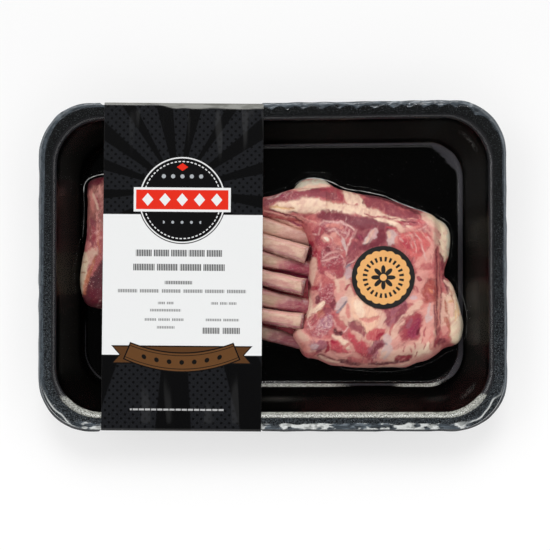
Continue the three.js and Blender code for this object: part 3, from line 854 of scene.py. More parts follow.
# %% Sawn spine
RIGHT_STROKES += [
    (SPONGE, 3.9, [(29.9, 21.6), (34.5, 22.1), (39.5, 21.4), (43, 18.9)], 0.3),
    (PINK, 1.1, [(30.6, 22.6), (35, 23.4), (39, 22)], 0.3),
    (BLUSH, 1.5, [(33, 16.4), (36, 18.2)], 0.3),
    (THREAD, 0.45, [(26.6, 23.4), (28.8, 24.8), (34, 25), (39.3, 24.5), (43.9, 22.4), (46.6, 20)], 0.4),
    (THREAD, 0.5, [(46.9, 20), (43.6, 15.2), (41, 9.6), (42.2, 3), (39.6, -2), (36.4, -6.4)], 0.4),
    (THREAD, 0.35, [(28, 6.5), (33, 7.5), (38.5, 6), (40, 2), (36, -0.5), (30, 0.5), (27.5, 3.5)], 0.3),
    (THREAD, 0.35, [(31.3, 19.5), (34.9, 21.2), (36.3, 18.8), (39.1, 16.4)], 0.4),
    (THREAD, 0.35, [(43.4, 20.7), (42.5, 18.2), (40.6, 15.7)], 0.3),
    (LEAN, 2, [(23.2, 19.6), (26, 20.4), (27.4, 18.2)], 0.1),
    (THREAD, 0.3, [(22.4, 18), (25.6, 17.4), (27, 21)], 0.3),
    (LEAN, 2.2, [(24.6, 16.4), (27.4, 13.6), (30.3, 11.8)], 0),
    (BLUSH, 1.9, [(28.8, 16.3), (31.2, 14.7)], 0.4),
    (WHITE, 0.9, [(29.4, 15.9), (30.8, 14.9)], 0.5),
    (PINK, 1.7, [(36.3, 14.8), (37.6, 11.6)], 0.3),
    (THREAD, 0.3, [(33.1, 16.4), (34.5, 11.8), (36.7, 9.3), (39.1, 9)], 0.3),
    (SILVER, 1.1, [(39.3, 15.4), (40, 11.8), (40.7, 9)], 0.3),
    (CRIMSON, 1.3, [(21.4, 13.6), (22.8, 11.8)], -0.3),
    (DARK, 1.5, [(21, 11.6), (20.8, 4.6)], -0.5),
    (BLOOD, 1.1, [(20.2, -7), (20.2, -13)], -0.5),
    (CRIMSON, 1.3, [(23.5, 9.7), (23.9, 6.5)], -0.3),
    (SPONGE, 5.2, [(33.1, 9.3), (31.3, 4.7), (34.5, 2.2), (32.8, -1.9)], 0.2),
    (DEEP, 1.2, [(29.6, 9.7), (31.3, 8.3)], -0.3),
    (THREAD, 0.35, [(27.4, 4.6), (31, 6.7), (35.6, 8.1)], 0.3),
    (THREAD, 0.35, [(26.9, 3), (31, 3.8), (35.9, 5.1)], 0.3),
    (PALE, 1.4, [(23.3, 4.4), (23.5, -1.9)], 0.2),
    (RED, 0.6, [(26, 8.6), (25.8, 4), (26.2, -1.9)], 0),
    (MUSCLE, 2.2, [(45.2, 13.6), (43.8, 7.6), (42.7, 1.2)], -0.2),
    (THREAD, 0.3, [(47.6, 4.7), (44.5, 1.9), (41.6, -0.9)], 0.3),
    (LEAN, 1.6, [(24.6, -7), (25.4, -13)], 0),
    (THREAD, 0.3, [(24, -6), (27.4, -9.4), (26, -14)], 0.3),
    (THREAD, 0.3, [(33.6, -10), (30.4, -13.6), (27, -14.6)], 0.3),
    (PALE, 1.2, [(22.9, 0.8), (22.9, -4.5), (22.2, -9.5)], 0.2),
    (PINK, 1.1, [(25.4, -3.4), (25, -7.7), (23.9, -10.9)], 0.1),
    (MAGENTA, 1.3, [(15.1, -2), (18.6, -2.4)], -0.4),
    (MAGENTA, 1, [(19.3, -4.1), (20.6, -8.4)], -0.2),
    (CRIMSON, 1, [(21.5, -12.8), (25, -12.5)], -0.1),
    (LEAN, 2.2, [(26.8, -0.9), (28.4, -3.1)], 0.1),
    (LEAN, 2.7, [(34.2, -1.6), (37.4, -1.6), (37.3, -5.2)], 0.1),
    (BLUSH, 1, [(29.4, -3.2), (31.4, -5), (34.2, -7)], 0.4),
    (SPONGE, 4.4, [(31.8, -13.4), (29.6, -16.9), (27.5, -18.3)], 0.1),
    (DEEP, 1.2, [(25, -16.9), (25, -20.5)], -0.3),
    (BLUSH, 2.2, [(38.8, -8.8), (37.6, -14.1), (36.2, -19)], 0.2),
    (PALE, 0.6, [(36.2, -8.4), (37.1, -11.2), (36.7, -14.4)], 0.3),
    (LEAN, 0.7, [(40.6, -13), (42.6, -10.2)], -0.1),
    (DEEP, 1.1, [(33.9, -19), (33.2, -21.9), (34.2, -24.4)], -0.3),
    (CRIMSON, 0.7, [(33.5, -27.2), (34.4, -27.6)], -0.2),
    (SILVER, 1.8, [(35.7, -23.3), (38.1, -20.5), (40.3, -18.3)], 0.4),
    (GREY, 0.6, [(36.2, -25.3), (38.3, -23.1), (41, -20.1)], 0.1),
    (LAVENDER, 1.7, [(41.2, -6.3), (43.5, -2)], 0.2),
    (GREY, 0.7, [(41.7, -1.3), (43.8, 0.5)], -0.1),
    (CREAM, 1.6, [(19.9, -15.8), (20.7, -20.5), (21.1, -25.4), (20.7, -29.3)], 0.5),
    (CREAM, 1.4, [(23.4, -25.3), (25.7, -22.6), (27.8, -20.5)], 0.5),
    (BROWN, 1.3, [(25.7, -27.9), (27.5, -25.6)], 0),
    (MUSCLE, 1.4, [(28.6, -23.7), (30.7, -26.1), (32.5, -23.3)], -0.2),
    (LILAC, 3, [(27, -36), (29.5, -32.5), (31.5, -28.5)], 0.2),
    (THREAD, 0.3, [(25.4, -30.4), (26.8, -34.3)], 0.3),
    (THREAD, 0.3, [(28.9, -28.3), (30.7, -33.2)], 0.3),
    (LEAN, 2, [(22.5, -28.5), (21, -33)], 0.1),
    (THREAD, 0.3, [(19, -30.5), (22, -34.5), (25, -31)], 0.3),
    (SPONGE, 2.2, [(23.2, -37.5), (26.1, -36.8), (30, -35.7)], 0),
    (ROSE, 2.6, [(36.5, -29.5), (39, -33.5)], 0.2),
    (THREAD, 0.35, [(33.7, -28), (35.5, -33.3), (39.8, -36.3), (42.2, -33.3), (42.6, -30.2)], 0.4),
    (DARK, 1, [(34.5, -35.2), (37, -37.5), (39, -37)], -0.4),
]
print("strokes so far:", len(RIGHT_STROKES))

# %% [markdown]
# Below the seal the meat is cut across: patches of lean between broad seams of fat.

# %% The cut face
RIGHT_STROKES += [
    (PALE, 3, [(40.5, -24), (42, -30)], 0.3),
    (PEACH, 6, [(47.4, -20), (51.5, -26.5), (54.3, -33.5)], 0.6),
    (CREAM, 2.2, [(46.7, -19.9), (49.4, -26.8)], 0.6),
    (PINK, 1, [(49, -28.9), (53.6, -30.2), (58.7, -28.1)], 0.2),
    (PINK, 1, [(41.6, -21.9), (42.7, -28.4)], 0.2),
    (BLUSH, 5.2, [(88, -24), (80, -38), (68, -46)], 0.2),
    (PALE, 1.6, [(86, -36), (82, -42), (78, -46)], 0.3),
    (PALE, 3.4, [(66, -50.4), (76, -48), (86.4, -46.4)], 0.4),
    (CREAM, 1.8, [(80, -48.6), (85, -46.4), (88, -42)], 0.4),
    (PURPLE, 3.9, [(73, -20), (69, -26), (64.6, -32)], -0.1),
    (MUSCLE, 1.7, [(73.8, -21.5), (71.6, -26.5), (69.6, -31)], -0.2),
    (MUSCLE, 1.3, [(62.9, -23.6), (64.2, -28.4), (63.8, -32)], -0.1),
    (ROSE, 1.3, [(67.6, -32.8), (65.4, -38.6)], 0),
    (PALE, 2.1, [(82.6, -19.6), (77, -26), (71.6, -32.6), (66.4, -39)], 0.3),
    (LEAN, 4.7, [(80.5, -28.8), (78.2, -33.5), (73.6, -39)], -0.1),
    (LEAN, 3.3, [(81.2, -28), (79.2, -33.5), (74.6, -38.9)], -0.2),
    (MAGENTA, 2.3, [(80.8, -30.5), (79, -35), (75.4, -38.2)], -0.2),
    (BLOOD, 0.9, [(81.6, -34.6), (80, -37.4)], -0.3),
    (PURPLE, 0.9, [(77.4, -29.4), (74.8, -34)], -0.1),
    (SILVER, 1.4, [(88, -20.8), (87.6, -26), (86.4, -31)], 0.2),
    (BLUSH, 0.7, [(88.8, -18.6), (88.4, -27)], 0.3),
    (BLUSH, 1.9, [(87.2, -32.4), (85.6, -37), (83.8, -42)], 0.2),
    (ROSE, 0.5, [(85.9, -34.2), (84.3, -38.4)], 0.1),
    (MUSCLE, 2.3, [(44.5, -31.8), (47.5, -34), (50, -36.5)], 0),
    (PALE, 1.2, [(44.8, -36.3), (47, -38), (49.6, -41.2)], 0.4),
    (RED, 2.3, [(53.5, -39), (57.2, -38), (60.7, -35.8)], 0.3),
    (CRIMSON, 0.9, [(58.4, -39), (61.2, -37.2)], 0.1),
    (RED, 1.4, [(42.4, -36.8), (44.4, -42)], 0.2),
    (RED, 3.4, [(45.8, -43.6), (49.6, -45.4), (52.4, -48.4)], 0.3),
    (RED, 3, [(33, -42.6), (37, -45.4), (41.2, -48.2)], 0.4),
    (CRIMSON, 1, [(32.4, -41.2), (35.8, -42.2)], 0.1),
    (CREAM, 1.1, [(33.7, -38.2), (37.5, -39.6), (40.2, -42.3), (42.4, -45.6)], 0.5),
    (PINK, 1, [(39.6, -45), (42, -42.8)], 0.3),
    (BLUSH, 1.2, [(35.5, -48.6), (39.4, -50), (44, -49.6)], 0.4),
    (BLUSH, 0.8, [(43.4, -43.4), (45.4, -47.6)], 0.3),
    (SILVER, 2.4, [(63.2, -38.6), (64.6, -44), (62.4, -50)], 0.3),
    (GREY, 0.45, [(61.6, -42.2), (63.6, -42.8)], 0.2),
    (PALE, 1, [(60.6, -50.8), (63.4, -47.4)], 0.3),
    (PURPLE, 2.6, [(60, -42), (57, -45.5), (54.8, -49.8)], -0.1),
    (DEEP, 1.4, [(60.3, -42.5), (57.5, -45), (55.5, -47.8)], -0.2),
    (LEAN, 1.6, [(53.8, -49.4), (55, -53)], 0),
    (BLUSH, 1.4, [(67, -41.4), (68.6, -45.2)], 0.2),
    (BLUSH, 2.8, [(15.5, -37.5), (17, -42), (17.6, -45)], 0.4),
    (PALE, 1.3, [(14.6, -35), (15.4, -39)], 0.4),
    (PINK, 1.4, [(16.6, -44), (18.8, -47.5)], 0.2),
    (PALE, 1.6, [(15.6, -38.4), (19.4, -40.6)], 0.4),
    (PALE, 0.9, [(20.6, -47.4), (26, -46.6)], 0.3),
    (ROSE, 1.3, [(17.5, -48.5), (21, -49.6), (25, -48.4)], 0.2),
    (PURPLE, 3, [(22.4, -44.4), (26.5, -43.5), (29, -43)], 0.2),
    (LAVENDER, 1.4, [(21.4, -44.8), (25, -43.8)], 0.3),
    (CRIMSON, 0.9, [(30.4, -41.6), (31.2, -45), (30, -48)], -0.5),
    (MUSCLE, 0.8, [(24, -47.6), (27.6, -47.2)], -0.3),
    # painted shade: a dark line along the front edge, where the cut face turns under
    (BLOOD, 1.5, [(25.6, -50), (31, -51.4), (36, -53.6)], -0.5),
    (DARK, 1.2, [(36, -52.6), (44, -54.6), (50, -55)], -0.5),
    (PALE, 0.8, [(26.5, -50.4), (31, -52.6), (37.5, -53.8)], 0.2),
    (ROSE, 1.2, [(43, -52), (49, -53), (57, -53.2)], 0),
    # painted shade along the front edge
    (DARK, 0.7, [(54, -54.6), (61, -54.2), (68, -53.4), (76, -52.4)], -0.4),
    (PALE, 0.9, [(60, -56.4), (68, -56), (77, -54.4)], 0.2),
    (CRIMSON, 1.2, [(69.6, -51), (73.5, -50.7), (77, -49.8)], -0.1),
    (BLOOD, 0.5, [(69, -52.2), (70.8, -52.6)], -0.3),
    (BLUSH, 3, [(81.4, -4.1), (81.6, -9), (82.3, -13.7), (79.8, -17.2)], 0.2),
    (LEAN, 0.8, [(80.9, -5.9), (82.7, -7.3)], -0.1),
    (ROSE, 1.2, [(79.1, -10.8), (80.5, -14)], 0.1),
    (LAVENDER, 1, [(77.7, -17.2), (80.2, -17.2)], 0.1),
    (WARM, 3.6, [(88.4, -8.8), (87.7, -13.7), (86.2, -18.2)], -0.1),
    (ORANGE, 0.5, [(87.1, -12.3), (88.4, -14.2)], 0),
    (ROSE, 0.4, [(86.4, -15.1), (87.6, -17.6)], 0),
    (ROSE, 0.35, [(78.4, -42.8), (78.8, -45.6)], 0.1),
    (ROSE, 0.35, [(82.9, -40.3), (82.3, -42.4)], 0.1),
    (ROSE, 0.35, [(76.3, -45.6), (77, -47.7)], 0.1),
    (ROSE, 0.35, [(80.5, -47.7), (79.1, -50.6)], 0.1),
    (ROSE, 0.35, [(84.4, -43.4), (83.8, -46)], 0.1),
    (ROSE, 0.35, [(73.6, -44.4), (73, -47)], 0.1),
]
print("strokes so far:", len(RIGHT_STROKES))

# %% [markdown]
# A deep dark crease parts that face from the outer fat, which has brown stains.

# %% Crease and outer fat
RIGHT_STROKES += [
    (PINK, 0.8, [(93.7, -4.1), (93.7, -12.6), (93.7, -26.8), (93.3, -33.9)], 0.1),
    (BLUSH, 1.6, [(94.8, -19), (94.8, -24.7), (95.1, -28.9)], 0.2),
    (LEAN, 0.6, [(95.8, -19.7), (97.2, -24)], -0.1),
    (PALE, 2.6, [(94.8, -16), (95.4, -26), (95.6, -34)], 0.2),
    (IVORY, 5, [(99.8, -11.9), (102.6, -17.9), (104.8, -26.8), (105, -33.9), (103.6, -40.6)], 0.6),
    # painted shade: greyer fat along the outline, where the fat turns down to the side
    (GREY_FAT_AND_SHADE, 1.7, [(104.6, -16), (107, -26), (107.4, -34), (105.6, -41)], 0.5),
    (BROWN, 0.4, [(99.4, -13), (101, -20), (101.6, -27)], -0.1),
    (STAIN, 0.5, [(103.2, -20), (104.4, -27)], 0.2),
    (BROWN, 0.5, [(96.1, -19), (97.6, -25.4)], -0.2),
    (BROWN, 1, [(96.9, -28.4), (99.2, -33.6)], -0.1),
    (DEEP, 1.1, [(96.2, -4.6), (97.4, -10), (97.6, -15)], -0.2),
    (PALE, 1, [(96.7, -7.3), (99, -10.5)], 0.5),
    (PALE, 1.3, [(98.7, -16.9), (99.9, -21.8), (100.4, -26.8)], 0.4),
    (STAIN, 0.7, [(98.7, -19.3), (100.6, -19)], 0.3),
    (STAIN, 0.3, [(102.4, -23.6), (102.9, -26.8), (102.7, -30)], 0.2),
    (BROWN, 0.3, [(99, -31.4), (99.4, -36), (99.1, -40.3)], 0),
    (BLUSH, 1.8, [(96.3, -33.2), (96.5, -37.1)], 0.2),
    (DEEP, 1.6, [(91.9, -42.1), (95.1, -41.4), (96.9, -42.1)], -0.2),
    (PINK, 1.2, [(88.4, -37.5), (88, -41), (88.4, -45.3)], 0.1),
    (MUSCLE, 0.35, [(90.1, -21.1), (90.2, -26.8), (90.4, -33.9)], -0.4),
    (PINK, 0.5, [(92.6, 4), (93, -8), (93.2, -22), (92.8, -34)], 0.1),
    (BLOOD, 0.35, [(91.3, 8), (91.5, -2), (91.7, -12), (91.6, -22), (91.6, -32), (90.8, -38)], -0.8),
    (MUSCLE, 0.35, [(93.6, 2), (94, -9), (94, -20), (93.8, -31), (93, -38)], -0.5),
    (LEAN, 1, [(92.6, -36), (91.9, -40.3), (90.5, -43.8)], -0.3),
]
print("strokes in all:", len(RIGHT_STROKES))

# %% [markdown]
# A rack seen from above is an outline, filled by loops that shrink towards a middle point.
# The loops first rise along a rounded side and then run in over the top, whose height falls
# off towards the back, the front and the crease. Most loops lie on the top, where it shows.

# %% Rack outlines
MEAT_BOTTOM = FLOOR_TOP + 0.3
RIGHT_TOP = 30.0
LEFT_TOP = 27.0
RIGHT_OUTLINE = [
    (11.2, -38.6), (14.6, -45.2), (18.3, -50.9), (25.4, -51.6), (35, -55.3), (49.7, -56), (61.9, -56.6),
    (74, -56), (80.2, -54.1), (87.7, -52.4), (92.8, -49.5), (97.4, -45.7), (102, -44.5), (105.4, -42.6),
    (107, -39), (107.3, -32.4), (106.4, -24.3), (104.3, -17.2), (102.3, -11.1), (99.4, -7.2),
    (97.1, -5), (97.3, 0), (99.2, 6.7), (100.3, 15.1), (99.9, 20.9), (97.6, 25), (93, 27.7),
    (88.8, 30.3), (80, 33.2), (66, 38.6), (50, 41.8), (36, 45.6), (29, 49.4), (20, 50), (13.5, 46.5),
    (10.5, 38), (15, 26), (20, 12), (19.8, -6), (19.5, -24), (13.5, -34),
]
RIGHT_MIDDLE = (60, -4)
LEFT_OUTLINE = [
    (-107.3, -17.5), (-105.6, -20.8), (-101.6, -22.7), (-92, -24.4), (-72, -30), (-50, -37), (-32, -41),
    (-25, -38), (-22.5, -26), (-21.5, -8), (-22, 10), (-25, 24), (-31, 34), (-42, 42), (-60, 48),
    (-80, 50.8), (-97, 51.3), (-103, 50), (-105.3, 47.2), (-105.6, 41.9), (-104.7, 36.6), (-105.1, 28.7),
    (-105.3, 18.2), (-106.3, 10.2), (-108, 2.3), (-108.6, -5.6), (-108.5, -12.1),
]
LEFT_MIDDLE = (-64, 6)
# share of the way out from the middle, share of the height
MEAT_SIDE = [
    (0.8, 0), (0.93, 0.02), (0.98, 0.14), (1, 0.38), (0.995, 0.62), (0.97, 0.82), (0.92, 0.94),
    (0.84, 1), (0.7, 1), (0.52, 1), (0.36, 1), (0.18, 1), (0.02, 1),
]

print("outline points:", len(RIGHT_OUTLINE), "and", len(LEFT_OUTLINE))

# %% Rack surfaces
PROFILE_STEPS = 600
PROFILE_SIZE = (45, 27)


def right_top(x, y):
    back = 15 * ease(y, 20, 50)
    front = 7 * ease(-y, 40, 58)
    crease = 7 * ease(x, 89, 95)
    rib_side = 6.5 * ease(-x, -30, -12)
    return RIGHT_TOP - np.minimum(back + front + crease + rib_side, 16) + 0.5 * rough(x, y, 14, 3, 2)


def left_top(x, y):
    back = 9 * ease(y, 24, 52)
    front = 8 * ease(-y, 14, 42)
    outer = 6 * ease(-x, 90, 108)
    return LEFT_TOP - np.minimum(back + front + outer, 13) + 0.4 * rough(x, y, 14, 5, 2)


def rack_loops(outline, middle, rows, columns, seed):
    """Loops from the underside, up the side and in over the top, without their height."""
    rim = smooth_curve(outline, columns, closed=True)
    profile = smooth_curve(np.array(MEAT_SIDE) * PROFILE_SIZE, PROFILE_STEPS) / PROFILE_SIZE
    shoulder = int(np.argmax(profile[:, 1] > 0.93))
    low_rows = rows // 5
    places = np.concatenate([np.linspace(0, shoulder, low_rows, endpoint=False),
                             np.linspace(shoulder, PROFILE_STEPS - 1, rows - low_rows)])
    profile = [np.interp(places, np.arange(PROFILE_STEPS), profile[:, k]) for k in range(2)]
    share = np.clip(profile[0], 0.004, 1.0)[:, None]
    rise = np.clip(profile[1], 0, 1)[:, None]
    around = np.arange(columns) / columns * 2 * math.pi
    bulges = noise(20 * np.cos(around), 20 * np.sin(around) + rise * 8, 3, seed)
    wobble = 1 + 0.012 * rise * (1 - rise) * 4 * bulges
    x = middle[0] + (rim[:, 0] - middle[0]) * share * wobble
    y = middle[1] + (rim[:, 1] - middle[1]) * share * wobble
    return x, y, np.broadcast_to(rise, x.shape)


def relief(tissue, seed):
    """Fine relief: spongy pits where the spine is sawn, puffed fat, uneven lean."""
    x, y = tissue.x, tissue.y
    pits = (ease(cells(x, y, 2.3, seed), 0.0, 0.5) - 0.6) * -0.35 * tissue.state[:, 4]
    fat = tissue.state[:, 3]
    folds = 0.16 * rough(x, y, 3.4, seed + 3, 4)
    return pits + folds + 0.2 * fat * noise(x, y, 5.0, seed + 5)


right_loops = rack_loops(RIGHT_OUTLINE, RIGHT_MIDDLE, 130, 720, 11)
print("right-hand rack points:", right_loops[0].size)

# %% [markdown]
# Muscle has a grain, and thin white threads of connective tissue run over it. Both are
# worked out at the same points as the tissue, so that they stay on the meat in every view.

# %% Grain and threads


def meat_masks(tissue, seed):
    """Colour, fat and sponge, with the grain of the muscle and a web of white threads."""
    x, y = tissue.x, tissue.y
    slant = slanted(x, y)
    grain = 0.6 * noise(slant, y / 5, 0.8, seed + 40) + 0.4 * noise(slant, y / 8, 1.9, seed + 41)
    web = 1 - ease(cells(x + 1.4 * rough(x, y, 3, seed + 7), y, 2.6, seed + 8), 0.0, 0.4)
    stray = 1 - ease(np.abs(rough(x * 0.8, y * 0.5, 5, seed + 30, 4)), 0.0, 0.06)
    patches = ease(rough(x, y, 8, seed + 31, 3), 0.0, 0.5)
    sponge = tissue.state[:, 4]
    thread = np.clip(0.6 * web * sponge * patches + 0.3 * web * sponge + 0.5 * stray * patches, 0, 1)
    return {"flesh": tissue.state[:, :3], "fat": tissue.state[:, 3], "sponge": sponge,
            "grain": grain * 0.5 + 0.5, "thread": thread}


print("grain and threads ready")

# %% [markdown]
# Painting and relief come together here: each stroke colours the points and lifts them. On
# the sides the pattern shifts with the height, so that no stroke runs straight down.

# %% Paint and build the right-hand rack
RIGHT_SEED = 50
SIDE_SLIDE = 0.3 * 6


def painted_meat(x, y, strokes, seed):
    tissue = Tissue(x, y, ROSE, seed)
    for stroke in strokes:
        tissue.stroke(*stroke)
    tissue.marble(seed + 200)
    return tissue


def rack_piece(name, loops, top_at, strokes, middle, node, seed, shade=1.0):
    x, y, rise = (a.ravel() for a in loops)
    slide = (1 - rise) * SIDE_SLIDE
    tissue = painted_meat(x + slide, y - slide, strokes, seed)
    tissue.state[:, :3] *= shade
    upper = ease(rise, 0.35, 0.95)
    z = MEAT_BOTTOM + rise * (top_at(x, y) - MEAT_BOTTOM)
    z += upper * (tissue.lift + relief(tissue, seed))
    points = np.stack([x, y, z], -1).reshape(*loops[0].shape, 3)
    first = (*middle, MEAT_BOTTOM)
    last = (*middle, float(points[-1, :, 2].mean()))
    skin, faces = stacked_skin(points, first, last)
    masks = {key: np.concatenate([value, value[:1], value[-1:]])
             for key, value in meat_masks(tissue, seed).items()}
    return make_piece(name, skin, faces, masks, [node])


rack_right = rack_piece("rack_right_meat", right_loops, right_top, RIGHT_STROKES, RIGHT_MIDDLE,
                        "rack_right", RIGHT_SEED)

# %% [markdown]
# Of the left-hand rack only its outer edge shows beside the band: brownish meat at the back,
# a dark eye at the front and a rim of cream fat outside it. The rest is hidden, so a few
# broad strokes are enough there. It lies lower than the other rack, close to the wall, so its
# colours are darkened a little as painted shade, and dark strokes along its outer edge are
# painted shade as well.

# %% Left-hand rack
LEFT_STROKES = [
    (SHELL, 9, [(-98, 48), (-97, 38), (-97, 28)], 0.2),
    (PINK, 1.3, [(-102.4, 43.6), (-101.8, 38), (-101, 32)], 0.3),
    (PALE, 0.7, [(-101.2, 42), (-99, 37), (-97.4, 32.6)], 0.3),
    (LEAN, 0.5, [(-99.4, 41), (-97.8, 37), (-96.3, 33.6)], 0),
    (BLUSH, 0.6, [(-97.6, 46), (-96.4, 41)], 0.2),
    # painted shade along the outer edge, at the back
    (DARK, 1.7, [(-106, 40), (-104.8, 44.8), (-101.6, 48.4), (-95, 50.8)], -0.2),
    (BLOOD, 1.2, [(-101.4, 46.8), (-95, 48.8)], -0.2),
    # painted shade along the outer edge, beside the wall
    (DARK, 1, [(-106, 42), (-105.8, 30), (-106, 18)], -0.2),
    (MUSCLE, 3.6, [(-101, 26), (-101, 20), (-100.4, 14)], -0.2),
    (LEAN, 2, [(-100.4, 21), (-99.6, 15)], -0.1),
    (SHELL, 0.6, [(-103, 29), (-102.6, 22), (-101.6, 15)], 0.1),
    (PINK, 0.45, [(-97.8, 30), (-98.2, 20), (-97.4, 12)], 0.2),
    (PINK, 0.35, [(-96.4, 27), (-96.8, 16)], 0.2),
    (ORANGE, 0.3, [(-96.8, 22), (-97.2, 14), (-96, 8)], 0.2),
    (DARK, 11, [(-91.4, -8), (-94, -14), (-95, -25)], -0.2),
    (BLOOD, 4.6, [(-95, -5), (-97, -11), (-99, -17)], -0.2),
    (DARK, 4.2, [(-92.6, 2.6), (-96, -4), (-98, -9)], -0.2),
    (PALE, 2.3, [(-98.6, 9.6), (-102, 6.4), (-105, 2)], 0.5),
    (PINK, 0.4, [(-99.4, 13), (-98.8, 9)], 0.3),
    (PINK, 0.4, [(-101.8, 13), (-102.2, 9)], 0.3),
    (IVORY, 2.7, [(-105.8, 6), (-107.4, -1), (-108.2, -8), (-107.8, -14.4)], 0.7),
    (ORANGE, 0.8, [(-99.8, 3.6), (-103, -3.6), (-104.8, -9), (-105.3, -15)], 0),
    (BROWN, 0.5, [(-98.6, 6.4), (-100.4, 2), (-102.4, -3.6), (-104.2, -10), (-104.6, -15)], -0.2),
    (BROWN, 0.25, [(-107.4, 1.8), (-104.6, 2.6)], -0.5),
    (BROWN, 0.25, [(-107.6, -3.4), (-105.4, -3)], -0.5),
    (BROWN, 0.25, [(-108.2, -10.2), (-106.8, -9.8)], -0.5),
    (DARK, 2, [(-107, -18.6), (-103, -21)], -0.3),
    (CREAM, 3, [(-80, 46), (-55, 44), (-35, 36)], 0.4),
    (MUSCLE, 8, [(-70, 10), (-45, 5), (-35, -10)], 0),
]
left_loops = rack_loops(LEFT_OUTLINE, LEFT_MIDDLE, 90, 520, 17)
# shade: painted shade that darkens all its colours
rack_left = rack_piece("rack_left_meat", left_loops, left_top, LEFT_STROKES, LEFT_MIDDLE,
                       "rack_left", 80, shade=0.74)

# %% [markdown]
# A strip of flank runs from the back of the right-hand rack to the left, under the band. It
# is an oval section swept along a line, painted with the same strokes and the same noise, so
# that muscle and fat run on from the rack.

# %% Flank
# middle, half width and half height at stations from the left to the rack
FLANK = [
    (-26, 36.5, 15, 2.4, 3), (-14, 34.6, 16, 4.2, 4.5), (0, 34.0, 17, 6.4, 6), (14, 35, 17.4, 9.4, 8),
    (30, 35, 17.4, 9.4, 8),
]


def swept_section(stations, rows, columns, power):
    """Loops of a rounded section along a smooth line of x, y, z, half width, half height."""
    line = smooth_curve(stations, rows)
    along = np.gradient(line[:, :3], axis=0)
    along /= np.linalg.norm(along, axis=1)[:, None]
    side = np.cross((0, 0, 1), along)
    side /= np.linalg.norm(side, axis=1)[:, None]
    up = np.cross(along, side)
    angle = np.arange(columns) / columns * 2 * math.pi
    across = np.sign(np.cos(angle)) * np.abs(np.cos(angle)) ** (2 / power)
    height = np.sign(np.sin(angle)) * np.abs(np.sin(angle)) ** (2 / power)
    wide = side[:, None] * (line[:, 3, None] * across)[:, :, None]
    tall = up[:, None] * (line[:, 4, None] * height)[:, :, None]
    return line[:, None, :3] + wide + tall, line


flank_loops, flank_line = swept_section(FLANK, 120, 90, 2)
flank_points, flank_faces = stacked_skin(flank_loops, flank_line[0, :3], flank_line[-1, :3])
tissue = painted_meat(flank_points[:, 0], flank_points[:, 1], RIGHT_STROKES, RIGHT_SEED)
flank_points[:, 2] += tissue.lift + relief(tissue, RIGHT_SEED)
flank = make_piece("flank_strip", flank_points, flank_faces, meat_masks(tissue, RIGHT_SEED),
                   ["rack_right"])

# %% [markdown]
# One finish dresses all the meat. The painted tissue gives its colour, and finer noise
# breaks that up: fat creeps into the lean in specks and streaks, lean shows through the
# fat, and the grain makes the muscle darker and lighter. Where the film clings to it the
# meat is glossy, so a thin coat over a fine bump stands for the film there.

# %% Meat finish
meat = Finish("raw_lamb", Specular_Ior_Level=0.2, Coat_Roughness=0.16)
flesh, fat, sponge = meat.painted("flesh"), meat.mask("fat"), meat.mask("sponge")
grain, thread = meat.mask("grain"), meat.mask("thread")
mottle = meat.noise(3.0, 5.0, 0.65)
fine = meat.noise(1.3, 4.0, 0.65)
streaks = meat.noise(1.8, 4.0, 0.6, (1.6, 0.45, 1))
is_lean = 1 - fat.high(0.55, 0.35)
lightened = is_lean * (0.05 + fat * 2.6)
colour = meat.layered(
    flesh,
    ("64232f", is_lean * mottle.high(0.6, 0.1) * 0.35),
    ("d98f86", lightened * (1 - mottle).high(0.6, 0.1) * 0.35),
    ("e0aba0", lightened * streaks.high(0.66, 0.07) * 0.45),
    ("dfa29a", lightened * grain.high(0.72, 0.1) * 0.4),
    ("dfa9a6", sponge * fine.high(0.54, 0.1) * 0.5),
    ("682736", is_lean * (1 - grain).high(0.72, 0.1) * 0.3),
    ("cf837a", (1 - is_lean) * mottle.high(0.6, 0.1) * 0.22),
    ("c4605c", (1 - is_lean) * streaks.high(0.69, 0.05) * 0.25),
    ("e4bcb4", thread * 0.75),
)
meat.feed(Base_Color=colour, Roughness=0.5 - fat * 0.08, Coat_Weight=0.06 + thread * 0.2)
height = fine * 0.7 + grain * 0.4 * is_lean + streaks * 0.8 + thread * 0.5
meat.feed(Normal=meat.bump(height, 0.16))
for piece in (rack_right, rack_left, flank):
    piece.data.materials.append(meat.material)
print("meat finish ready")

# %% [markdown]
# Rib bones are flat bars, scraped clean and sawn off. The section is a rounded rectangle
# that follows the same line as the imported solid. The end closes with small steps, which
# leave a crisp rim round a slightly hollow, bloody face.

# %% Rib bones
# name: root in the meat, middle, sawn tip, half width
RIBS = {
    "rib_right_1": ((30, 12.4, 16), (5, 20.4, 18), (-17, 27, 20.5), 4.2),
    "rib_right_2": ((30, -3, 16), (5, 2.4, 18), (-17, 7.4, 20.5), 4.3),
    "rib_right_3": ((30, -24.2, 16), (5, -19.5, 18), (-17, -14.6, 20.5), 4.9),
    "rib_right_4": ((24, -44.6, 13), (0, -38.2, 15.5), (-18, -33.4, 18), 3.9),
    "rib_left_1": ((-34, 21.4, 18), (-5.8, 14.2, 20.8), (19.3, 6.7, 23.2), 4.6),
    "rib_left_2": ((-34, 2, 18), (-5.8, -5.8, 20.8), (18, -11.4, 23.2), 4.4),
    "rib_left_3": ((-34, -20, 18), (-5.8, -27.2, 20.8), (17.4, -30.4, 23.2), 4.2),
}
RIB_HALF_HEIGHT = 3.0
RIB_FLARE = 0.1
RIB_SQUARENESS = 2.7
BONE_ROWS, BONE_COLUMNS = 150, 64
ROOT_HIDDEN = 11.0
# rings of the sawn face: share of the section, millimetres outwards
SAWN_STEPS = [(0.97, 0.12), (0.9, 0.2), (0.8, 0.12), (0.55, -0.15), (0.25, -0.3)]
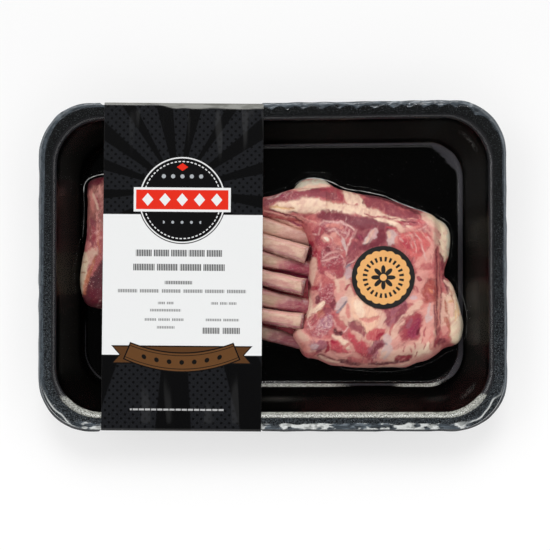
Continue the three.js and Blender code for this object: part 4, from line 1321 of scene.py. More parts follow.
# name = (colour, fat, sponge)
BONE = ("c9a890", 0.80, 0.0)
# painted shade: darker base for the right-hand rack's bones, which lie in the others' shade
SHADED = ("b08d76", 0.80, 0.0)
FLUSH = ("c48c84", 0.60, 0.0)
BRUISE = ("aa5a68", 0.30, 0.0)
CLOT = ("7c2438", 0.00, 0.0)
WINE = ("9a2c4e", 0.00, 0.0)
# paler bone, laid as a painted highlight
BONE_HIGHLIGHT = ("d9b29d", 0.90, 0.0)
SMOKE = ("b0917d", 0.70, 0.0)
SHADE_ON_BONE = ("3a2620", 0.30, 0.0)
# painted shade over whole bones, and painted light over the first bones
IN_SHADE = {"rib_right_3": 0.12, "rib_right_4": 0.5}
PAINTED_LIGHT_ON_BONES = {"rib_right_1": 0.6, "rib_left_1": 0.25}
print("ribs:", len(RIBS))

# %% [markdown]
# The bones are painted like the meat, but each in its own flat measure: millimetres from
# the root along the bone, and across it. So one list of strokes serves all the bones of a
# rack, and the noise makes each one different.

# %% Strokes on bones
AT_ROOT = [
    (BONE, 1.4, [(10, 0.2), (24, 0.2), (52, 0.4)], 0),
    (FLUSH, 1, [(0, 3.3), (20, 3.5), (52, 3.6)], 0.1),
    (FLUSH, 0.9, [(0, -3.4), (20, -3.7), (52, -3.9)], 0),
    (FLUSH, 4.2, [(0, 0), (8, -0.6), (15, -1.6)], 0),
    (BRUISE, 3.6, [(0, -0.6), (8, -1.4), (14, -3.4)], 0),
    (WINE, 3.6, [(-3, 0), (5, -0.8)], 0),
    (WINE, 2, [(4, -1.4), (10, -3.2)], 0),
    (MAGENTA, 1.4, [(0, -2.6), (6, -3.6), (13, -4.6)], -0.1),
    (CLOT, 0.5, [(10, -4.4), (30, -4.5), (52, -4.6)], -0.1),
    (BRUISE, 0.4, [(14, 4.3), (52, 4.3)], 0),
]
AT_TIP = [
    # painted highlight along the middle of the bone
    (BONE_HIGHLIGHT, 2.2, [(2, 0.3), (20, 0.5), (50, 0.4)], 0),
    (FLUSH, 0.7, [(1, 3.4), (16, 3.6), (50, 3.8)], 0.25),
    (BLUSH, 0.35, [(3, 2.6), (10, 3), (24, 2.6)], 0.2),
    (SMOKE, 1.3, [(30, 0.5), (40, 1), (56, 0.5)], 0),
    (FLUSH, 1.2, [(6, -1.2), (16, -0.6), (22, -1.6)], 0),
    (BRUISE, 0.6, [(2, -3.4), (20, -3.2), (50, -3.2)], -0.2),
    (CLOT, 0.55, [(0, -4.2), (20, -4.2), (52, -4.2)], -0.2),
    (CLOT, 1.1, [(0.3, -4.4), (0.5, 0), (0.3, 4.4)], 0),
    (DARK, 0.6, [(-0.1, -4.4), (0.1, 0), (-0.1, 4.4)], 0),
]
print("strokes at the root and at the tip:", len(AT_ROOT), len(AT_TIP))

# %% [markdown]
# A bone is swept along its curve first. Then each point's place along and across the bone is
# worked out, the strokes are laid there, and the underside and the sawn face turn dark with
# blood. The right-hand rack's bones come out of the meat and lie in the others' shade, which
# is painted into them: a darker base, and more painted shade on the third and fourth. The
# first bone of each rack is painted paler, as painted light.

# %% Build the bones
def bone_line(root, middle, tip, half, seed):
    """Stations along a curve through the middle: x, y, z, half width, half height."""
    bend = 2 * middle - (root + tip) / 2
    t = np.linspace(0, 1, 24)[:, None]
    line = (1 - t) ** 2 * root + 2 * t * (1 - t) * bend + t**2 * tip
    width = half * (1 + RIB_FLARE * (2 * t - 1)) + 0.15 * noise(t * 9, t * 0, 2.0, seed)
    height = RIB_HALF_HEIGHT + 0.2 * noise(t * 9, t * 0 + 5, 2.5, seed)
    return np.hstack([line, width, height])


def rib_bone(name, root, middle, tip, half, seed):
    at_root = "right" in name
    root, middle, tip = (np.array(p, float) for p in (root, middle, tip))
    stations = bone_line(root, middle, tip, half, seed)
    loops, line = swept_section(stations, BONE_ROWS, BONE_COLUMNS, RIB_SQUARENESS)
    core = loops.mean(1, keepdims=True)
    lumps = rough(loops[..., 0] + seed, loops[..., 1] + 2 * loops[..., 2], 5.0, seed, 3)
    loops = core + (loops - core) * (1 + 0.035 * lumps[..., None])
    end, centre = loops[-1], loops[-1].mean(0)
    along = centre - loops[-3].mean(0)
    along /= np.linalg.norm(along)
    face = [centre + (end - centre) * share + along * out for share, out in SAWN_STEPS]
    loops = np.vstack([loops, face])
    rows, steps = len(loops), len(SAWN_STEPS)
    skin, faces = stacked_skin(loops, loops[0].mean(0), centre - along * 0.3)

    # place along the bone, from the tip or from where it leaves the meat
    from_tip = np.cumsum(np.linalg.norm(np.diff(line[::-1, :3], axis=0), axis=1))[::-1]
    lengthwise = np.repeat(np.append(from_tip, np.zeros(steps + 1)), BONE_COLUMNS)
    lengthwise = np.append(lengthwise, [from_tip[0], 0])
    if at_root:
        lengthwise = lengthwise.max() - lengthwise - ROOT_HIDDEN
    # place across it: towards its back edge, seen from above
    direction = (tip - root)[:2] / np.linalg.norm((tip - root)[:2])
    back = np.array([-direction[1], direction[0]]) * np.sign(direction[0])
    middles = np.vstack([core[:, 0], np.repeat(core[-1], steps, axis=0)])
    sideways = np.append((loops - middles[:, None])[..., :2] @ back, [0, 0])

    own_place = 40 * seed
    tissue = Tissue(lengthwise, sideways + own_place, SHADED if at_root else BONE, seed, 0.3)
    for kind, width, points, lift in AT_ROOT if at_root else AT_TIP:
        tissue.stroke(kind, width, [(a, b + own_place) for a, b in points], lift)
    # painted shade and painted light over whole bones
    tissue.lay(SHADE_ON_BONE, np.full(len(skin), IN_SHADE.get(name, 0.0)))
    tissue.lay(BONE_HIGHLIGHT, np.full(len(skin), PAINTED_LIGHT_ON_BONES.get(name, 0.0)))
    below = (core[:, 0, 2, None] - loops[:BONE_ROWS, :, 2]) / RIB_HALF_HEIGHT
    below = np.append(below, np.zeros(steps * BONE_COLUMNS + 2))
    tissue.lay(CLOT, ease(below + 0.3 * tissue.ragged, 0.1, 0.7))
    skin[:, 2] += tissue.lift * ease(-below, 0.2, 0.6)
    row = np.append(np.repeat(np.arange(rows), BONE_COLUMNS), [0, rows])
    tissue.lay(CLOT, (row > rows - steps) * 0.8)
    masks = {"flesh": tissue.state[:, :3], "fat": tissue.state[:, 3]}
    return make_piece(name + "_bone", skin, faces, masks, [name])


bones = [rib_bone(name, *facts, seed=100 + 7 * k) for k, (name, facts) in enumerate(RIBS.items())]

# %% [markdown]
# Bone is dense and smooth, so it only needs fine streaks along it and a satin gloss.

# %% Bone finish
bone = Finish("rib_bone", Specular_Ior_Level=0.4, Coat_Weight=0.3, Coat_Roughness=0.15)
streaks = bone.noise(1.6, 4.0, 0.6, (0.3, 1, 1))
blots = bone.noise(2.6, 4.0, 0.6)
colour = bone.layered(
    bone.painted("flesh"),
    ("a77f6c", streaks.high(0.56, 0.14) * 0.28),
    ("e2c7b4", (1 - streaks).high(0.58, 0.12) * 0.26),
    ("bd7c74", blots.high(0.58, 0.1) * 0.32),
)
bone.feed(Base_Color=colour, Roughness=0.38 + streaks * 0.12)
bone.feed(Normal=bone.bump(streaks + blots * 0.6, 0.2))
for piece in bones:
    piece.data.materials.append(bone.material)
print("bones:", len(bones))

# %% [markdown]
# Between the ribs a thin web of bloody membrane is left, and strings of meat run down to
# the first rib from the flank. It is a low closed cushion that the bones lie in, higher at
# its back edge, and painted like the rest of the meat. Its underside takes its colours from
# the points above.

# %% Web between the ribs
WEB_LEFT, WEB_RIGHT = -16.0, 26.0
WEB_TOP, WEB_THICKNESS = 15.6, 2.0
WEB_SHOULDER = 3.6
WEB_ROWS, WEB_COLUMNS = 150, 90
WEB_SEED = 60
WEB_STROKES = [
    (CLOT, 5, [(-16, 22), (0, 17), (20, 10)], 0),
    (ROSE, 4, [(-16, 33), (0, 29.5), (22, 23)], 0),
    (PINK, 1.2, [(-8, 31), (2, 28.2), (14, 24.5), (24, 20)], 0.5),
    (BLUSH, 0.9, [(-8, 28.6), (4, 26.4), (16, 22)], 0.4),
    (MAGENTA, 0.6, [(-6, 29.8), (6, 27.3), (18, 23)], -0.3),
    (PALE, 0.8, [(2, 26.5), (10, 24), (20, 18.5)], 0.4),
    (BLUSH, 1.2, [(14, 21), (20, 16), (24, 10)], 0.3),
    (WINE, 3, [(4, 15), (14, 12), (20, 9)], 0),
    (WINE, 3, [(4, -2.4), (14, -4), (20, -5)], 0),
    (WINE, 2.4, [(4, -21), (14, -23.6), (20, -25)], 0),
    (DARK, 1.8, [(-6, -8.6), (-1, -9.2)], 0),
    (DARK, 1.2, [(20, 6.5), (21.5, 3.4)], -0.6),
]


def web_edges(x):
    """Front and back edge of the web, under the last rib and under the flank."""
    return -38.2 - 0.27 * x, 35.0 - 0.1 * np.maximum(x, 0)


t = np.linspace(0, 1, WEB_COLUMNS)[None, :]
web_x = WEB_LEFT + (WEB_RIGHT - WEB_LEFT) * np.broadcast_to(t, (WEB_ROWS, WEB_COLUMNS))
front_edge, back_edge = web_edges(web_x)
web_share = np.linspace(0, 1, WEB_ROWS)[:, None]
web_y = front_edge + (back_edge - front_edge) * web_share
tissue = Tissue(web_x.ravel(), web_y.ravel(), LEAN, WEB_SEED)
for stroke in WEB_STROKES:
    tissue.stroke(*stroke)
shoulder = WEB_SHOULDER * ease(web_y + 0.35 * web_x - 27, -3.5, 3.5)
web_z = WEB_TOP + shoulder + 0.5 * rough(web_x, web_y, 5, 63) + tissue.lift.reshape(web_x.shape)
edge_drop = 1 - np.minimum(1, np.minimum(web_share, 1 - web_share) / 0.04)
web_z -= 1.5 * edge_drop**2
upper = np.stack([web_x, web_y, web_z], -1)
lower = np.stack([web_x, web_y, np.minimum(web_z, WEB_TOP - 0.6) - WEB_THICKNESS], -1)
web_loops = np.concatenate([upper, lower[:, ::-1]], axis=1)
web_skin, web_faces = stacked_skin(web_loops, web_loops[0].mean(0), web_loops[-1].mean(0))
order = np.arange(WEB_ROWS * WEB_COLUMNS).reshape(WEB_ROWS, WEB_COLUMNS)
order = np.append(np.concatenate([order, order[:, ::-1]], axis=1), [0, 0])
web_masks = {key: value[order] for key, value in meat_masks(tissue, WEB_SEED).items()}
web_faces = [face[::-1] for face in web_faces]
web = make_piece("rib_web", web_skin, web_faces, web_masks, ())
web.data.materials.append(meat.material)

# %% [markdown]
# Skin film is warmed and drawn down by vacuum until it lies on everything below it. Here it
# is a height field over a fine grid. First the heights of tray and meat are read at each
# place of the grid.

# %% Height of what the film covers
FILM_STEP = 0.72
FILM_LIFT = 0.22
BALL = 1.5
film_half_x, film_half_y = TRAY_LENGTH / 2 + 1, TRAY_DEPTH / 2 + 1
film_x = np.arange(-film_half_x, film_half_x + FILM_STEP, FILM_STEP)
film_y = np.arange(-film_half_y, film_half_y + FILM_STEP, FILM_STEP)
grid_x, grid_y = np.meshgrid(film_x, film_y)


def tray_inset(x, y):
    """Inset of the tray loop that runs through each place, by halving the interval."""
    low, high = np.full(x.shape, -3.0), np.full(x.shape, FLOOR_INSET)
    for _ in range(24):
        mid = (low + high) / 2
        radius = tray_radius(mid)
        qx = np.abs(x) - (TRAY_LENGTH / 2 - mid - radius)
        qy = np.abs(y - well_shift(x, y, mid)) - (TRAY_DEPTH / 2 - mid - radius)
        to_corner = np.hypot(np.maximum(qx, 0), np.maximum(qy, 0))
        is_inside = to_corner + np.minimum(np.maximum(qx, qy), 0) < radius
        low, high = np.where(is_inside, mid, low), np.where(is_inside, high, mid)
    return (low + high) / 2


inset_map = tray_inset(grid_x, grid_y)
on_tray = np.interp(inset_map, inside[:, 0], inside[:, 1], left=RIM_TOP, right=FLOOR_TOP)
cover = on_tray.copy()
for piece in [rack_right, rack_left, flank, web, *bones]:
    co = np.zeros(len(piece.data.vertices) * 3)
    piece.data.vertices.foreach_get("co", co)
    co = co.reshape(-1, 3) / MM
    column = np.clip(np.round((co[:, 0] - film_x[0]) / FILM_STEP).astype(int), 0, len(film_x) - 1)
    line = np.clip(np.round((co[:, 1] - film_y[0]) / FILM_STEP).astype(int), 0, len(film_y) - 1)
    np.maximum.at(cover, (line, column), co[:, 2])
print("cover heights:", round(float(cover.min()), 1), "to", round(float(cover.max()), 1), "mm")

# %% [markdown]
# Where a side is steep the film can't follow into the corner, so it leaves a small tent. The
# meat is widened by a stand-off that varies from place to place, and a small ball then rolls
# over meat and tray: the film is where the ball can't go. It is smoothed twice, but never
# below what it covers.

# %% Roll a ball over it
NOWHERE = 99.0


def shifted(height, dx, dy, fill):
    moved = np.full_like(height, fill)
    ys = slice(max(dy, 0), height.shape[0] + min(dy, 0))
    yd = slice(max(-dy, 0), height.shape[0] + min(-dy, 0))
    xs = slice(max(dx, 0), height.shape[1] + min(dx, 0))
    xd = slice(max(-dx, 0), height.shape[1] + min(-dx, 0))
    moved[yd, xd] = height[ys, xs]
    return moved


def rolled(height, radius, step):
    """The height field that a ball of that radius, rolling over it, can't reach into."""
    reach = int(radius / step)
    offsets = [(dx, dy, math.sqrt(radius**2 - (dx * dx + dy * dy) * step**2))
               for dx in range(-reach, reach + 1) for dy in range(-reach, reach + 1)
               if (dx * dx + dy * dy) * step**2 < radius**2]
    centre = np.max([shifted(height, dx, dy, -NOWHERE) + rise for dx, dy, rise in offsets], axis=0)
    return np.min([shifted(centre, dx, dy, NOWHERE) - rise for dx, dy, rise in offsets], axis=0)


def widened(height):
    """Each place takes the height of its highest neighbour."""
    return np.max([shifted(height, dx, dy, -NOWHERE) for dx in (-1, 0, 1) for dy in (-1, 0, 1)], axis=0)


print("rolling ball of", BALL, "mm")

# %% Film heights
SIDES = ((1, 0), (-1, 0), (0, 1), (0, -1))

stretched = [np.where(cover > on_tray + 0.2, cover, -NOWHERE)]
for _ in range(4):
    stretched.append(widened(stretched[-1]))
stand_off = 2.3 + 1.2 * rough(grid_x, grid_y, 26, 31, 2)
solid = on_tray.copy()
for count, height in enumerate(stretched):
    solid = np.where(count <= stand_off, np.maximum(solid, height), solid)
film_height = rolled(solid, BALL, FILM_STEP)
floor_height = np.maximum(widened(stretched[0]), on_tray) + FILM_LIFT
film_height += FILM_LIFT
for _ in range(2):
    around = sum(shifted(film_height, dx, dy, RIM_TOP) for dx, dy in SIDES) / 4
    film_height = np.maximum(floor_height, 0.5 * film_height + 0.5 * around)
print("film heights:", round(float(film_height.min()), 1), "to", round(float(film_height.max()), 1), "mm")

# %% [markdown]
# The film's mesh is the part of the grid inside the rim. Its outermost points are pulled in
# to the trimmed edge. A mask says where the film hangs free: only there it is glossy by
# itself, because on the meat the meat's own coat already shines.

# %% Film mesh


def film_at(x, y):
    """Height of the film at any place, between the points of its grid."""
    u = np.clip((np.asarray(x) - film_x[0]) / FILM_STEP, 0, len(film_x) - 1.001)
    v = np.clip((np.asarray(y) - film_y[0]) / FILM_STEP, 0, len(film_y) - 1.001)
    iu, iv = u.astype(int), v.astype(int)
    fu, fv = u - iu, v - iv
    low = film_height[iv, iu] * (1 - fu) + film_height[iv, iu + 1] * fu
    high = film_height[iv + 1, iu] * (1 - fu) + film_height[iv + 1, iu + 1] * fu
    return low * (1 - fv) + high * fv


FILM_EDGE_INSET = 0.6
keep = inset_map > FILM_EDGE_INSET - FILM_STEP * 0.9
pull = np.clip(FILM_EDGE_INSET - inset_map, 0, None)
radius = tray_radius(np.full(grid_x.shape, FILM_EDGE_INSET))
past_x = np.abs(grid_x) - (TRAY_LENGTH / 2 - FILM_EDGE_INSET - radius)
past_y = np.abs(grid_y) - (TRAY_DEPTH / 2 - FILM_EDGE_INSET - radius)
corner_x = np.maximum(past_x, 0) * np.sign(grid_x)
corner_y = np.maximum(past_y, 0) * np.sign(grid_y)
outward = np.maximum(np.hypot(corner_x, corner_y), 1e-6)
film_points = np.stack([grid_x - pull * corner_x / outward, grid_y - pull * corner_y / outward,
                        film_height], -1).reshape(-1, 3)
quads = grid_faces(len(film_y), len(film_x), wrap_columns=False)
quads = quads[keep.ravel()[quads].all(1)]
used = np.unique(quads)
renumber = np.zeros(len(film_points), int)
renumber[used] = np.arange(len(used))
over_meat = stretched[1] > on_tray + 0.6
near_meat = stretched[4] > on_tray + 0.6


def soft_mean(field):
    return sum(shifted(field * 1.0, dx, dy, 0) for dx in (-1, 0, 1) for dy in (-1, 0, 1)) / 9


tent, on_wall = soft_mean(near_meat & ~over_meat), soft_mean((inset_map > 9.0) & ~near_meat)
free = np.clip(1 - soft_mean(over_meat) - 0.85 * on_wall, 0, 1)
film_masks = {"free": np.clip(free - 0.9 * tent, 0, 1).ravel()[used]}
film = make_piece("skin_film", film_points[used], renumber[quads], film_masks, ["film"])

# %% [markdown]
# The film is trimmed just past the rim, and its loose margin there looks milky. At the back
# it ends in scallops on the rim, at the front it is crumpled, with white glints of light
# painted on it as flakes, and round the front corners it stands up in a wavy line, painted
# bright as a reflection, with the tray's dark edge outside it. A strip of loops lies over the
# rim. Which way each place of it faces says whether it is at the back, the front, a side or a
# front corner.

# %% Film edge
EDGE_ROWS = 20
EDGE_FROM, EDGE_TO = 5.0, -1.0

edge_inset = np.linspace(EDGE_FROM, EDGE_TO, EDGE_ROWS)[:, None]
edge_height = RIM_TOP + FILM_LIFT + 0.1
edge_loops = np.array([tray_loop(i, edge_height, 60, 300, 200) for i in edge_inset[:, 0]])
middle_x, middle_y = edge_loops[EDGE_ROWS // 2, :, 0], edge_loops[EDGE_ROWS // 2, :, 1]
run_x = np.roll(middle_x, -1) - np.roll(middle_x, 1)
run_y = np.roll(middle_y, -1) - np.roll(middle_y, 1)
run = np.hypot(run_x, run_y)
out_x, out_y = run_y / run, -run_x / run
back, front = ease(out_y, 0.3, 0.9), ease(-out_y, 0.05, 0.6)
side = 1 - back - front
straight_front = ease(-out_y, 0.9, 0.995)
corner = front * (1 - straight_front)
print("edge points:", edge_loops.shape[0] * edge_loops.shape[1])

# %% [markdown]
# The milky part has a depth that varies along the rim: small arches at the back, and an
# uneven line elsewhere. Within that depth the film is loose.

# %% Depth of the milky part
SCALLOP = 9.4

sway = noise(middle_x, middle_y, 17, 70)
arches = np.abs(np.sin((middle_x + 2.4 * sway) * math.pi / SCALLOP))
back_depth = 3.2 - 2.0 * arches
back_depth = np.where(middle_x < -94, 1.6, back_depth)
front_depth = 3.2 + 0.8 * rough(middle_x, middle_y, 7, 71, 3)
side_depth = 1.0 + 1.3 * ease(-out_x, 0.5, 0.9) + 0.4 * noise(middle_x, middle_y, 26, 72)
depth = side * side_depth + back * back_depth + front * front_depth
loose = ease(depth - edge_inset, -0.25, 0.3)
streak = rough((middle_x + middle_y) / 4 + 0 * edge_inset, edge_inset * 1.3, 1.0, 73, 3)
painted_glints = ease(rough(edge_loops[..., 0] / 1.6, edge_loops[..., 1], 4.0, 74, 3) + 0.3 * streak, 0.1, 0.3)
line_inset = 1.5 + 1.5 * rough(middle_x, middle_y, 10, 75, 2)
wavy_line = 1 - ease(np.abs(edge_inset - line_inset), 0.2, 0.55)
inside_line = ease(edge_inset - line_inset, -0.1, 0.1) * (1 - ease(edge_inset - line_inset, 0.6, 1.8))
past_rim = ease(-edge_inset, -0.3, 0.1)
print("milky depth:", round(float(depth.min()), 1), "to", round(float(depth.max()), 1), "mm")

# %% Milky margin of the film
MILKY = ("e0e3e1", "7f8a93", "3c444b", "2c2e31")
GLINT, HAZE, SLATE, EDGE_DARK = (np.array(srgb(code)[:3]) for code in MILKY)
BAND_MIDDLE = -50.0
UNDER_BAND = 44.8


def toward(colour, other, share):
    return colour + (other - colour) * share[..., None]


hazy = ease(streak, -0.3, 0.8) * (0.45 * back + 0.6 * front + 0.2 * side) + 0.05 * side
veil = toward(np.broadcast_to(SLATE, (*streak.shape, 3)), HAZE, hazy)
# painted reflections: white glints on the crumpled front, and the bright wavy line at the front corners
veil = toward(veil, GLINT, np.maximum(painted_glints * straight_front, wavy_line * corner * 0.8))
veil = toward(veil, EDGE_DARK, past_rim * front)
cover = loose * (0.85 * back + 0.85 * straight_front + 0.75 * side)
cover = np.maximum(cover, corner * np.maximum(wavy_line * 0.9, inside_line * 0.45))
cover = np.maximum(cover, past_rim)

# the band holds the margin down and in, and elsewhere it is pushed about and crumpled
under_band = ease(UNDER_BAND - np.abs(middle_x - BAND_MIDDLE), 0, 1.5) * (np.abs(middle_y) > 60)
push = 0.3 * noise(middle_x, middle_y, 7, 77) - 0.3 * ease(-out_x, 0.5, 0.9)
push = push * ease(0.6 - edge_inset, 0, 1.8) * (1 - under_band)
push = push - under_band * 0.85 * np.clip(0.3 - edge_inset, 0, None)
crumple = 0.35 * rough(edge_loops[..., 0], edge_loops[..., 1], 3.0, 76, 3)
crumple = crumple * (1 - under_band) * (1 - 0.85 * side)
edge_loops[..., 0] += push * out_x
edge_loops[..., 1] += push * out_y
edge_loops[..., 2] += loose * crumple + 0.25 * wavy_line * corner - 0.4 * ease(-edge_inset, 0, 1.2)
edge_faces = grid_faces(*edge_loops.shape[:2])[:, ::-1]
edge_masks = {"veil": veil.reshape(-1, 3), "cover": cover.ravel()}
film_edge = make_piece("film_edge", edge_loops.reshape(-1, 3), edge_faces, edge_masks, ())

# %% [markdown]
# Beside the meat the film folds onto itself where it leaves the meat's side. Such a fold is
# a thin cord along the contour, painted white as a highlight, strongest at the back, where it
# faces the light.

# %% Folds in the film
# share of cover (how strongly the painted highlight shows), half width, line
FOLDS = [
    (0.75, 0.19, [(12.5, 46.6), (17, 49.6), (23.1, 50.6), (29.2, 49.6), (33.7, 48), (37.6, 46)]),
    (0.4, 0.14, [(36.4, 46.6), (41, 44.6), (45.5, 43.6), (49.3, 43.2)]),
    (0.65, 0.16, [(48.4, 43.4), (55.4, 42), (63.2, 40.2), (69.9, 36.6), (76.5, 33.8), (83.2, 31.4),
                  (89.5, 28.8)]),
    (0.08, 0.14, [(91.5, 29.4), (97.5, 26.6), (101.3, 22.4), (102.3, 15.9), (101.6, 8), (99.8, 1)]),
    (0.07, 0.14, [(101, -6), (104.4, -10.5), (107.4, -17.5), (109.3, -27), (109.4, -36), (107.6, -42.4)]),
    (0.07, 0.14, [(37, -56.4), (43, -57.8), (50, -58.2), (58.4, -59), (69, -58.8), (79, -56.8)]),
    (0.07, 0.14, [(79, -56.8), (87, -54.8), (94.2, -51.4), (99, -48.4), (104.2, -45.8)]),
    (0.8, 0.22, [(-107, 42), (-106.8, 46.4), (-104.8, 50), (-101, 52), (-95.5, 52.8), (-90, 53)]),
    (0.12, 0.14, [(-107, 42), (-106.6, 33), (-106.8, 24), (-107.4, 16)]),
]
FOLD_STATIONS = 60


def fold_cord(half, points, seed):
    """A thin tapered cord on top of the film, along a line."""
    line = smooth_curve(points, FOLD_STATIONS)
    t = np.linspace(0, 1, FOLD_STATIONS)
    taper = 1.05 - (2 * t - 1) ** 6
    width = half * taper * (1 + 0.35 * noise(t * 20, t * 0, 1.5, seed))
    around = [film_at(line[:, 0] + dx, line[:, 1] + dy) for dx in (-0.4, 0, 0.4) for dy in (-0.4, 0, 0.4)]
    height = np.max(around, axis=0)
    stations = np.column_stack([line, height + 0.05, width, width * 0.8])
    loops, middle_line = swept_section(stations, 2 * FOLD_STATIONS, 8, 2)
    return stacked_skin(loops, middle_line[0, :3], middle_line[-1, :3])


fold_points, fold_faces, fold_cover = [], [], []
for k, (share, half, points) in enumerate(FOLDS):
    skin, faces = fold_cord(half, points, 90 + k)
    start = sum(len(p) for p in fold_points)
    fold_faces += [[start + i for i in face] for face in faces]
    fold_points.append(skin)
    fold_cover.append(share * np.clip(0.8 + 0.5 * rough(skin[:, 0], skin[:, 1], 6, 95 + k, 3), 0.1, 1))
fold_points = np.vstack(fold_points)
# the cords are painted in the glint's white, as a painted highlight
fold_masks = {"veil": np.tile(GLINT, (len(fold_points), 1)), "cover": np.concatenate(fold_cover)}
film_folds = make_piece("film_folds", fold_points, fold_faces, fold_masks, ())

# %% [markdown]
# Clear film has hardly any colour of its own, only the light that it mirrors. So it is a mix
# of see-through and gloss, with the share that Fresnel's law gives. A faint bump bends the
# reflections. The milky margin and the folds are an ordinary shader with a painted colour,
# whose Alpha leaves out what they don't cover.

# %% Film finish
clear = Finish("clear_film")
film_normal = clear.bump(clear.noise(6.0, 3.0, 0.5), 0.25)
mirrored = clear.add("ShaderNodeFresnel", {}, {"IOR": 1.42, "Normal": film_normal})
see_through = clear.add("ShaderNodeBsdfTransparent")
inputs = {"Color": (1, 1, 1, 1), "Roughness": 0.1, "Normal": film_normal}
shine = clear.add("ShaderNodeBsdfAnisotropic", {}, inputs)
share = mirrored * (clear.mask("free") * 0.95 + 0.05)
mixed = clear.add("ShaderNodeMixShader", {}, [share, see_through, shine])
clear.put(clear.tree.nodes["Material Output"].inputs["Surface"], mixed)
clear.tree.nodes.remove(clear.shader)

milky = Finish("milky_film", Roughness=0.35, Coat_Weight=0.4, Coat_Roughness=0.1)
milky.feed(Base_Color=milky.painted("veil"), Alpha=milky.mask("cover"))
milky.feed(Normal=milky.bump(milky.noise(1.6, 3.0, 0.6), 0.15))
film.data.materials.append(clear.material)
for piece in (film_edge, film_folds):
    piece.data.materials.append(milky.material)
print("film finish ready")

# %% [markdown]
# The printed band is a flat strip folded round the pack and glued under it. Its section
# goes over the rim in tight bends and slants in to the base. Each point keeps its place on
# the flat print, across and along the strip, so that the print runs on over the folds. At
# the back edge a wavy flap of it is folded down, and there the band is painted grey, as the
# highlight where it bends over the rim.

# %% Band mesh
BAND_WIDTH = 88.7
BAND_TURN = math.radians(-0.44)
BAND_HALF_DEPTH = 91.0
BAND_HALF_BASE = 71.2
BAND_THICKNESS = 0.5
BAND_TOP = RIM_TOP + 1.0

half_section = np.array([
    (0.0, BAND_TOP), (BAND_HALF_DEPTH - 1.4, BAND_TOP), (BAND_HALF_DEPTH - 0.3, BAND_TOP - 0.3),
    (BAND_HALF_DEPTH, BAND_TOP - 1.6), (BAND_HALF_DEPTH, RIM_TOP - 3), (BAND_HALF_BASE, 1.7),
    (BAND_HALF_BASE - 1.6, BAND_THICKNESS), (0.0, BAND_THICKNESS),
])
half_section = soften(half_section, 3)
steps = np.concatenate([[0], np.cumsum(np.linalg.norm(np.diff(half_section, axis=0), axis=1))])
even = np.linspace(0, steps[-1], 420)
half_section = np.column_stack([np.interp(even, steps, half_section[:, k]) for k in range(2)])
ring = np.vstack([half_section, (half_section * (-1, 1))[-2:0:-1]])
along_print = np.concatenate([even, -even[-2:0:-1]])
tangent = np.roll(ring, -1, 0) - np.roll(ring, 1, 0)
normal = np.column_stack([-tangent[:, 1], tangent[:, 0]]) / np.linalg.norm(tangent, axis=1)[:, None]
print("length round the pack:", round(2 * float(steps[-1])), "mm")

# %% Band surface
BAND_COLUMNS = 45
BAND_LIFT = 0.12
FOLD_SLOPE = 0.2
FLAP_FROM, FLAP_WIDER = 90.0, 1.9

across = np.linspace(-BAND_WIDTH / 2 + 0.1, BAND_WIDTH / 2 - 0.1, BAND_COLUMNS - 2)
across = np.concatenate([[-BAND_WIDTH / 2], across, [BAND_WIDTH / 2]])


def band_rows(offset, order):
    """Rows of x, y, z and how far each point lies past the wavy line of the flap."""
    rows = []
    place = ring + normal * offset
    for x in across[::order]:
        fold_from = FLAP_FROM - FLAP_WIDER * ease(x, -14, -4) + 0.3 * noise(x, 0, 8, 22)
        past_fold = np.where(along_print > 0, place[:, 0] - fold_from, -9.0)
        drop = FOLD_SLOPE * np.clip(past_fold, 0, None) * ease(place[:, 1], 3, 25)
        rows.append(np.column_stack([np.full(len(ring), x), place[:, 0], place[:, 1] - drop, past_fold]))
    return rows


band_grid = np.array(band_rows(BAND_THICKNESS, 1) + band_rows(BAND_LIFT, -1))
flat_x, flat_y, height, past_fold = np.moveaxis(band_grid, -1, 0)
cosine, sine = math.cos(BAND_TURN), math.sin(BAND_TURN)
turned_x = BAND_MIDDLE + flat_x * cosine - flat_y * sine
turned_y = flat_x * sine + flat_y * cosine
band_points = np.stack([turned_x, turned_y, height], -1).reshape(-1, 3)
band_masks = {
    "across": flat_x.ravel(),
    "along": np.tile(along_print, 2 * BAND_COLUMNS),
    "inner": np.repeat([0, 1], BAND_COLUMNS * len(ring)),
    "folded": ease(past_fold, -0.15, 0.3).ravel(),
}
band_faces = grid_faces(2 * BAND_COLUMNS, len(ring), wrap_rows=True)[:, ::-1]
band = make_piece("printed_band", band_points, band_faces, band_masks, ["band"])

# %% [markdown]
# The print is drawn by arithmetic on those two coordinates: black fields with dark rays and
# rows of dots, and a white field between them. Faint smears dull the gloss of the black.

# %% Band print
WHITE_FROM, WHITE_TO = -49.3, 28.9
RAYS_FROM = (-2.6, 42.6)
RAY_COUNT = 17
DOT_PITCH = 4.45
INK, PAPER, SIGNAL_RED = "0e0e0f", "eff0f0", "e8301f"

label = Finish("band_print", Specular_Ior_Level=0.4, Coat_Roughness=0.06)
u, v, inner = label.mask("across"), label.mask("along"), label.mask("inner")
smears = label.noise(7.0, 1.0, 0.4, (1, 0.12, 1)).high(0.63, 0.05)
smears = smears * (v.high(62, 6) + 1 - v.high(-62, 6)) * v.within(0, 87, 1.5)
folded = label.mask("folded")
label.feed(Roughness=0.22 + smears * 0.2 + folded * 0.2, Coat_Weight=0.15 * (1 - folded))


def rectangle(x, y, middle, size, soft=0.12):
    return x.within(middle[0], size[0] / 2, soft) * y.within(middle[1], size[1] / 2, soft)


def length(x, y):
    return (x * x + y * y).math("SQRT")


def turn(x, y):
    """Angle round the middle, in whole turns."""
    return y.math("ARCTAN2", x) / (2 * math.pi)


def repeated(x, pitch):
    """Distance from the middle of the nearest of many equal steps."""
    return ((x / pitch + 0.5).math("FRACT") - 0.5) * pitch


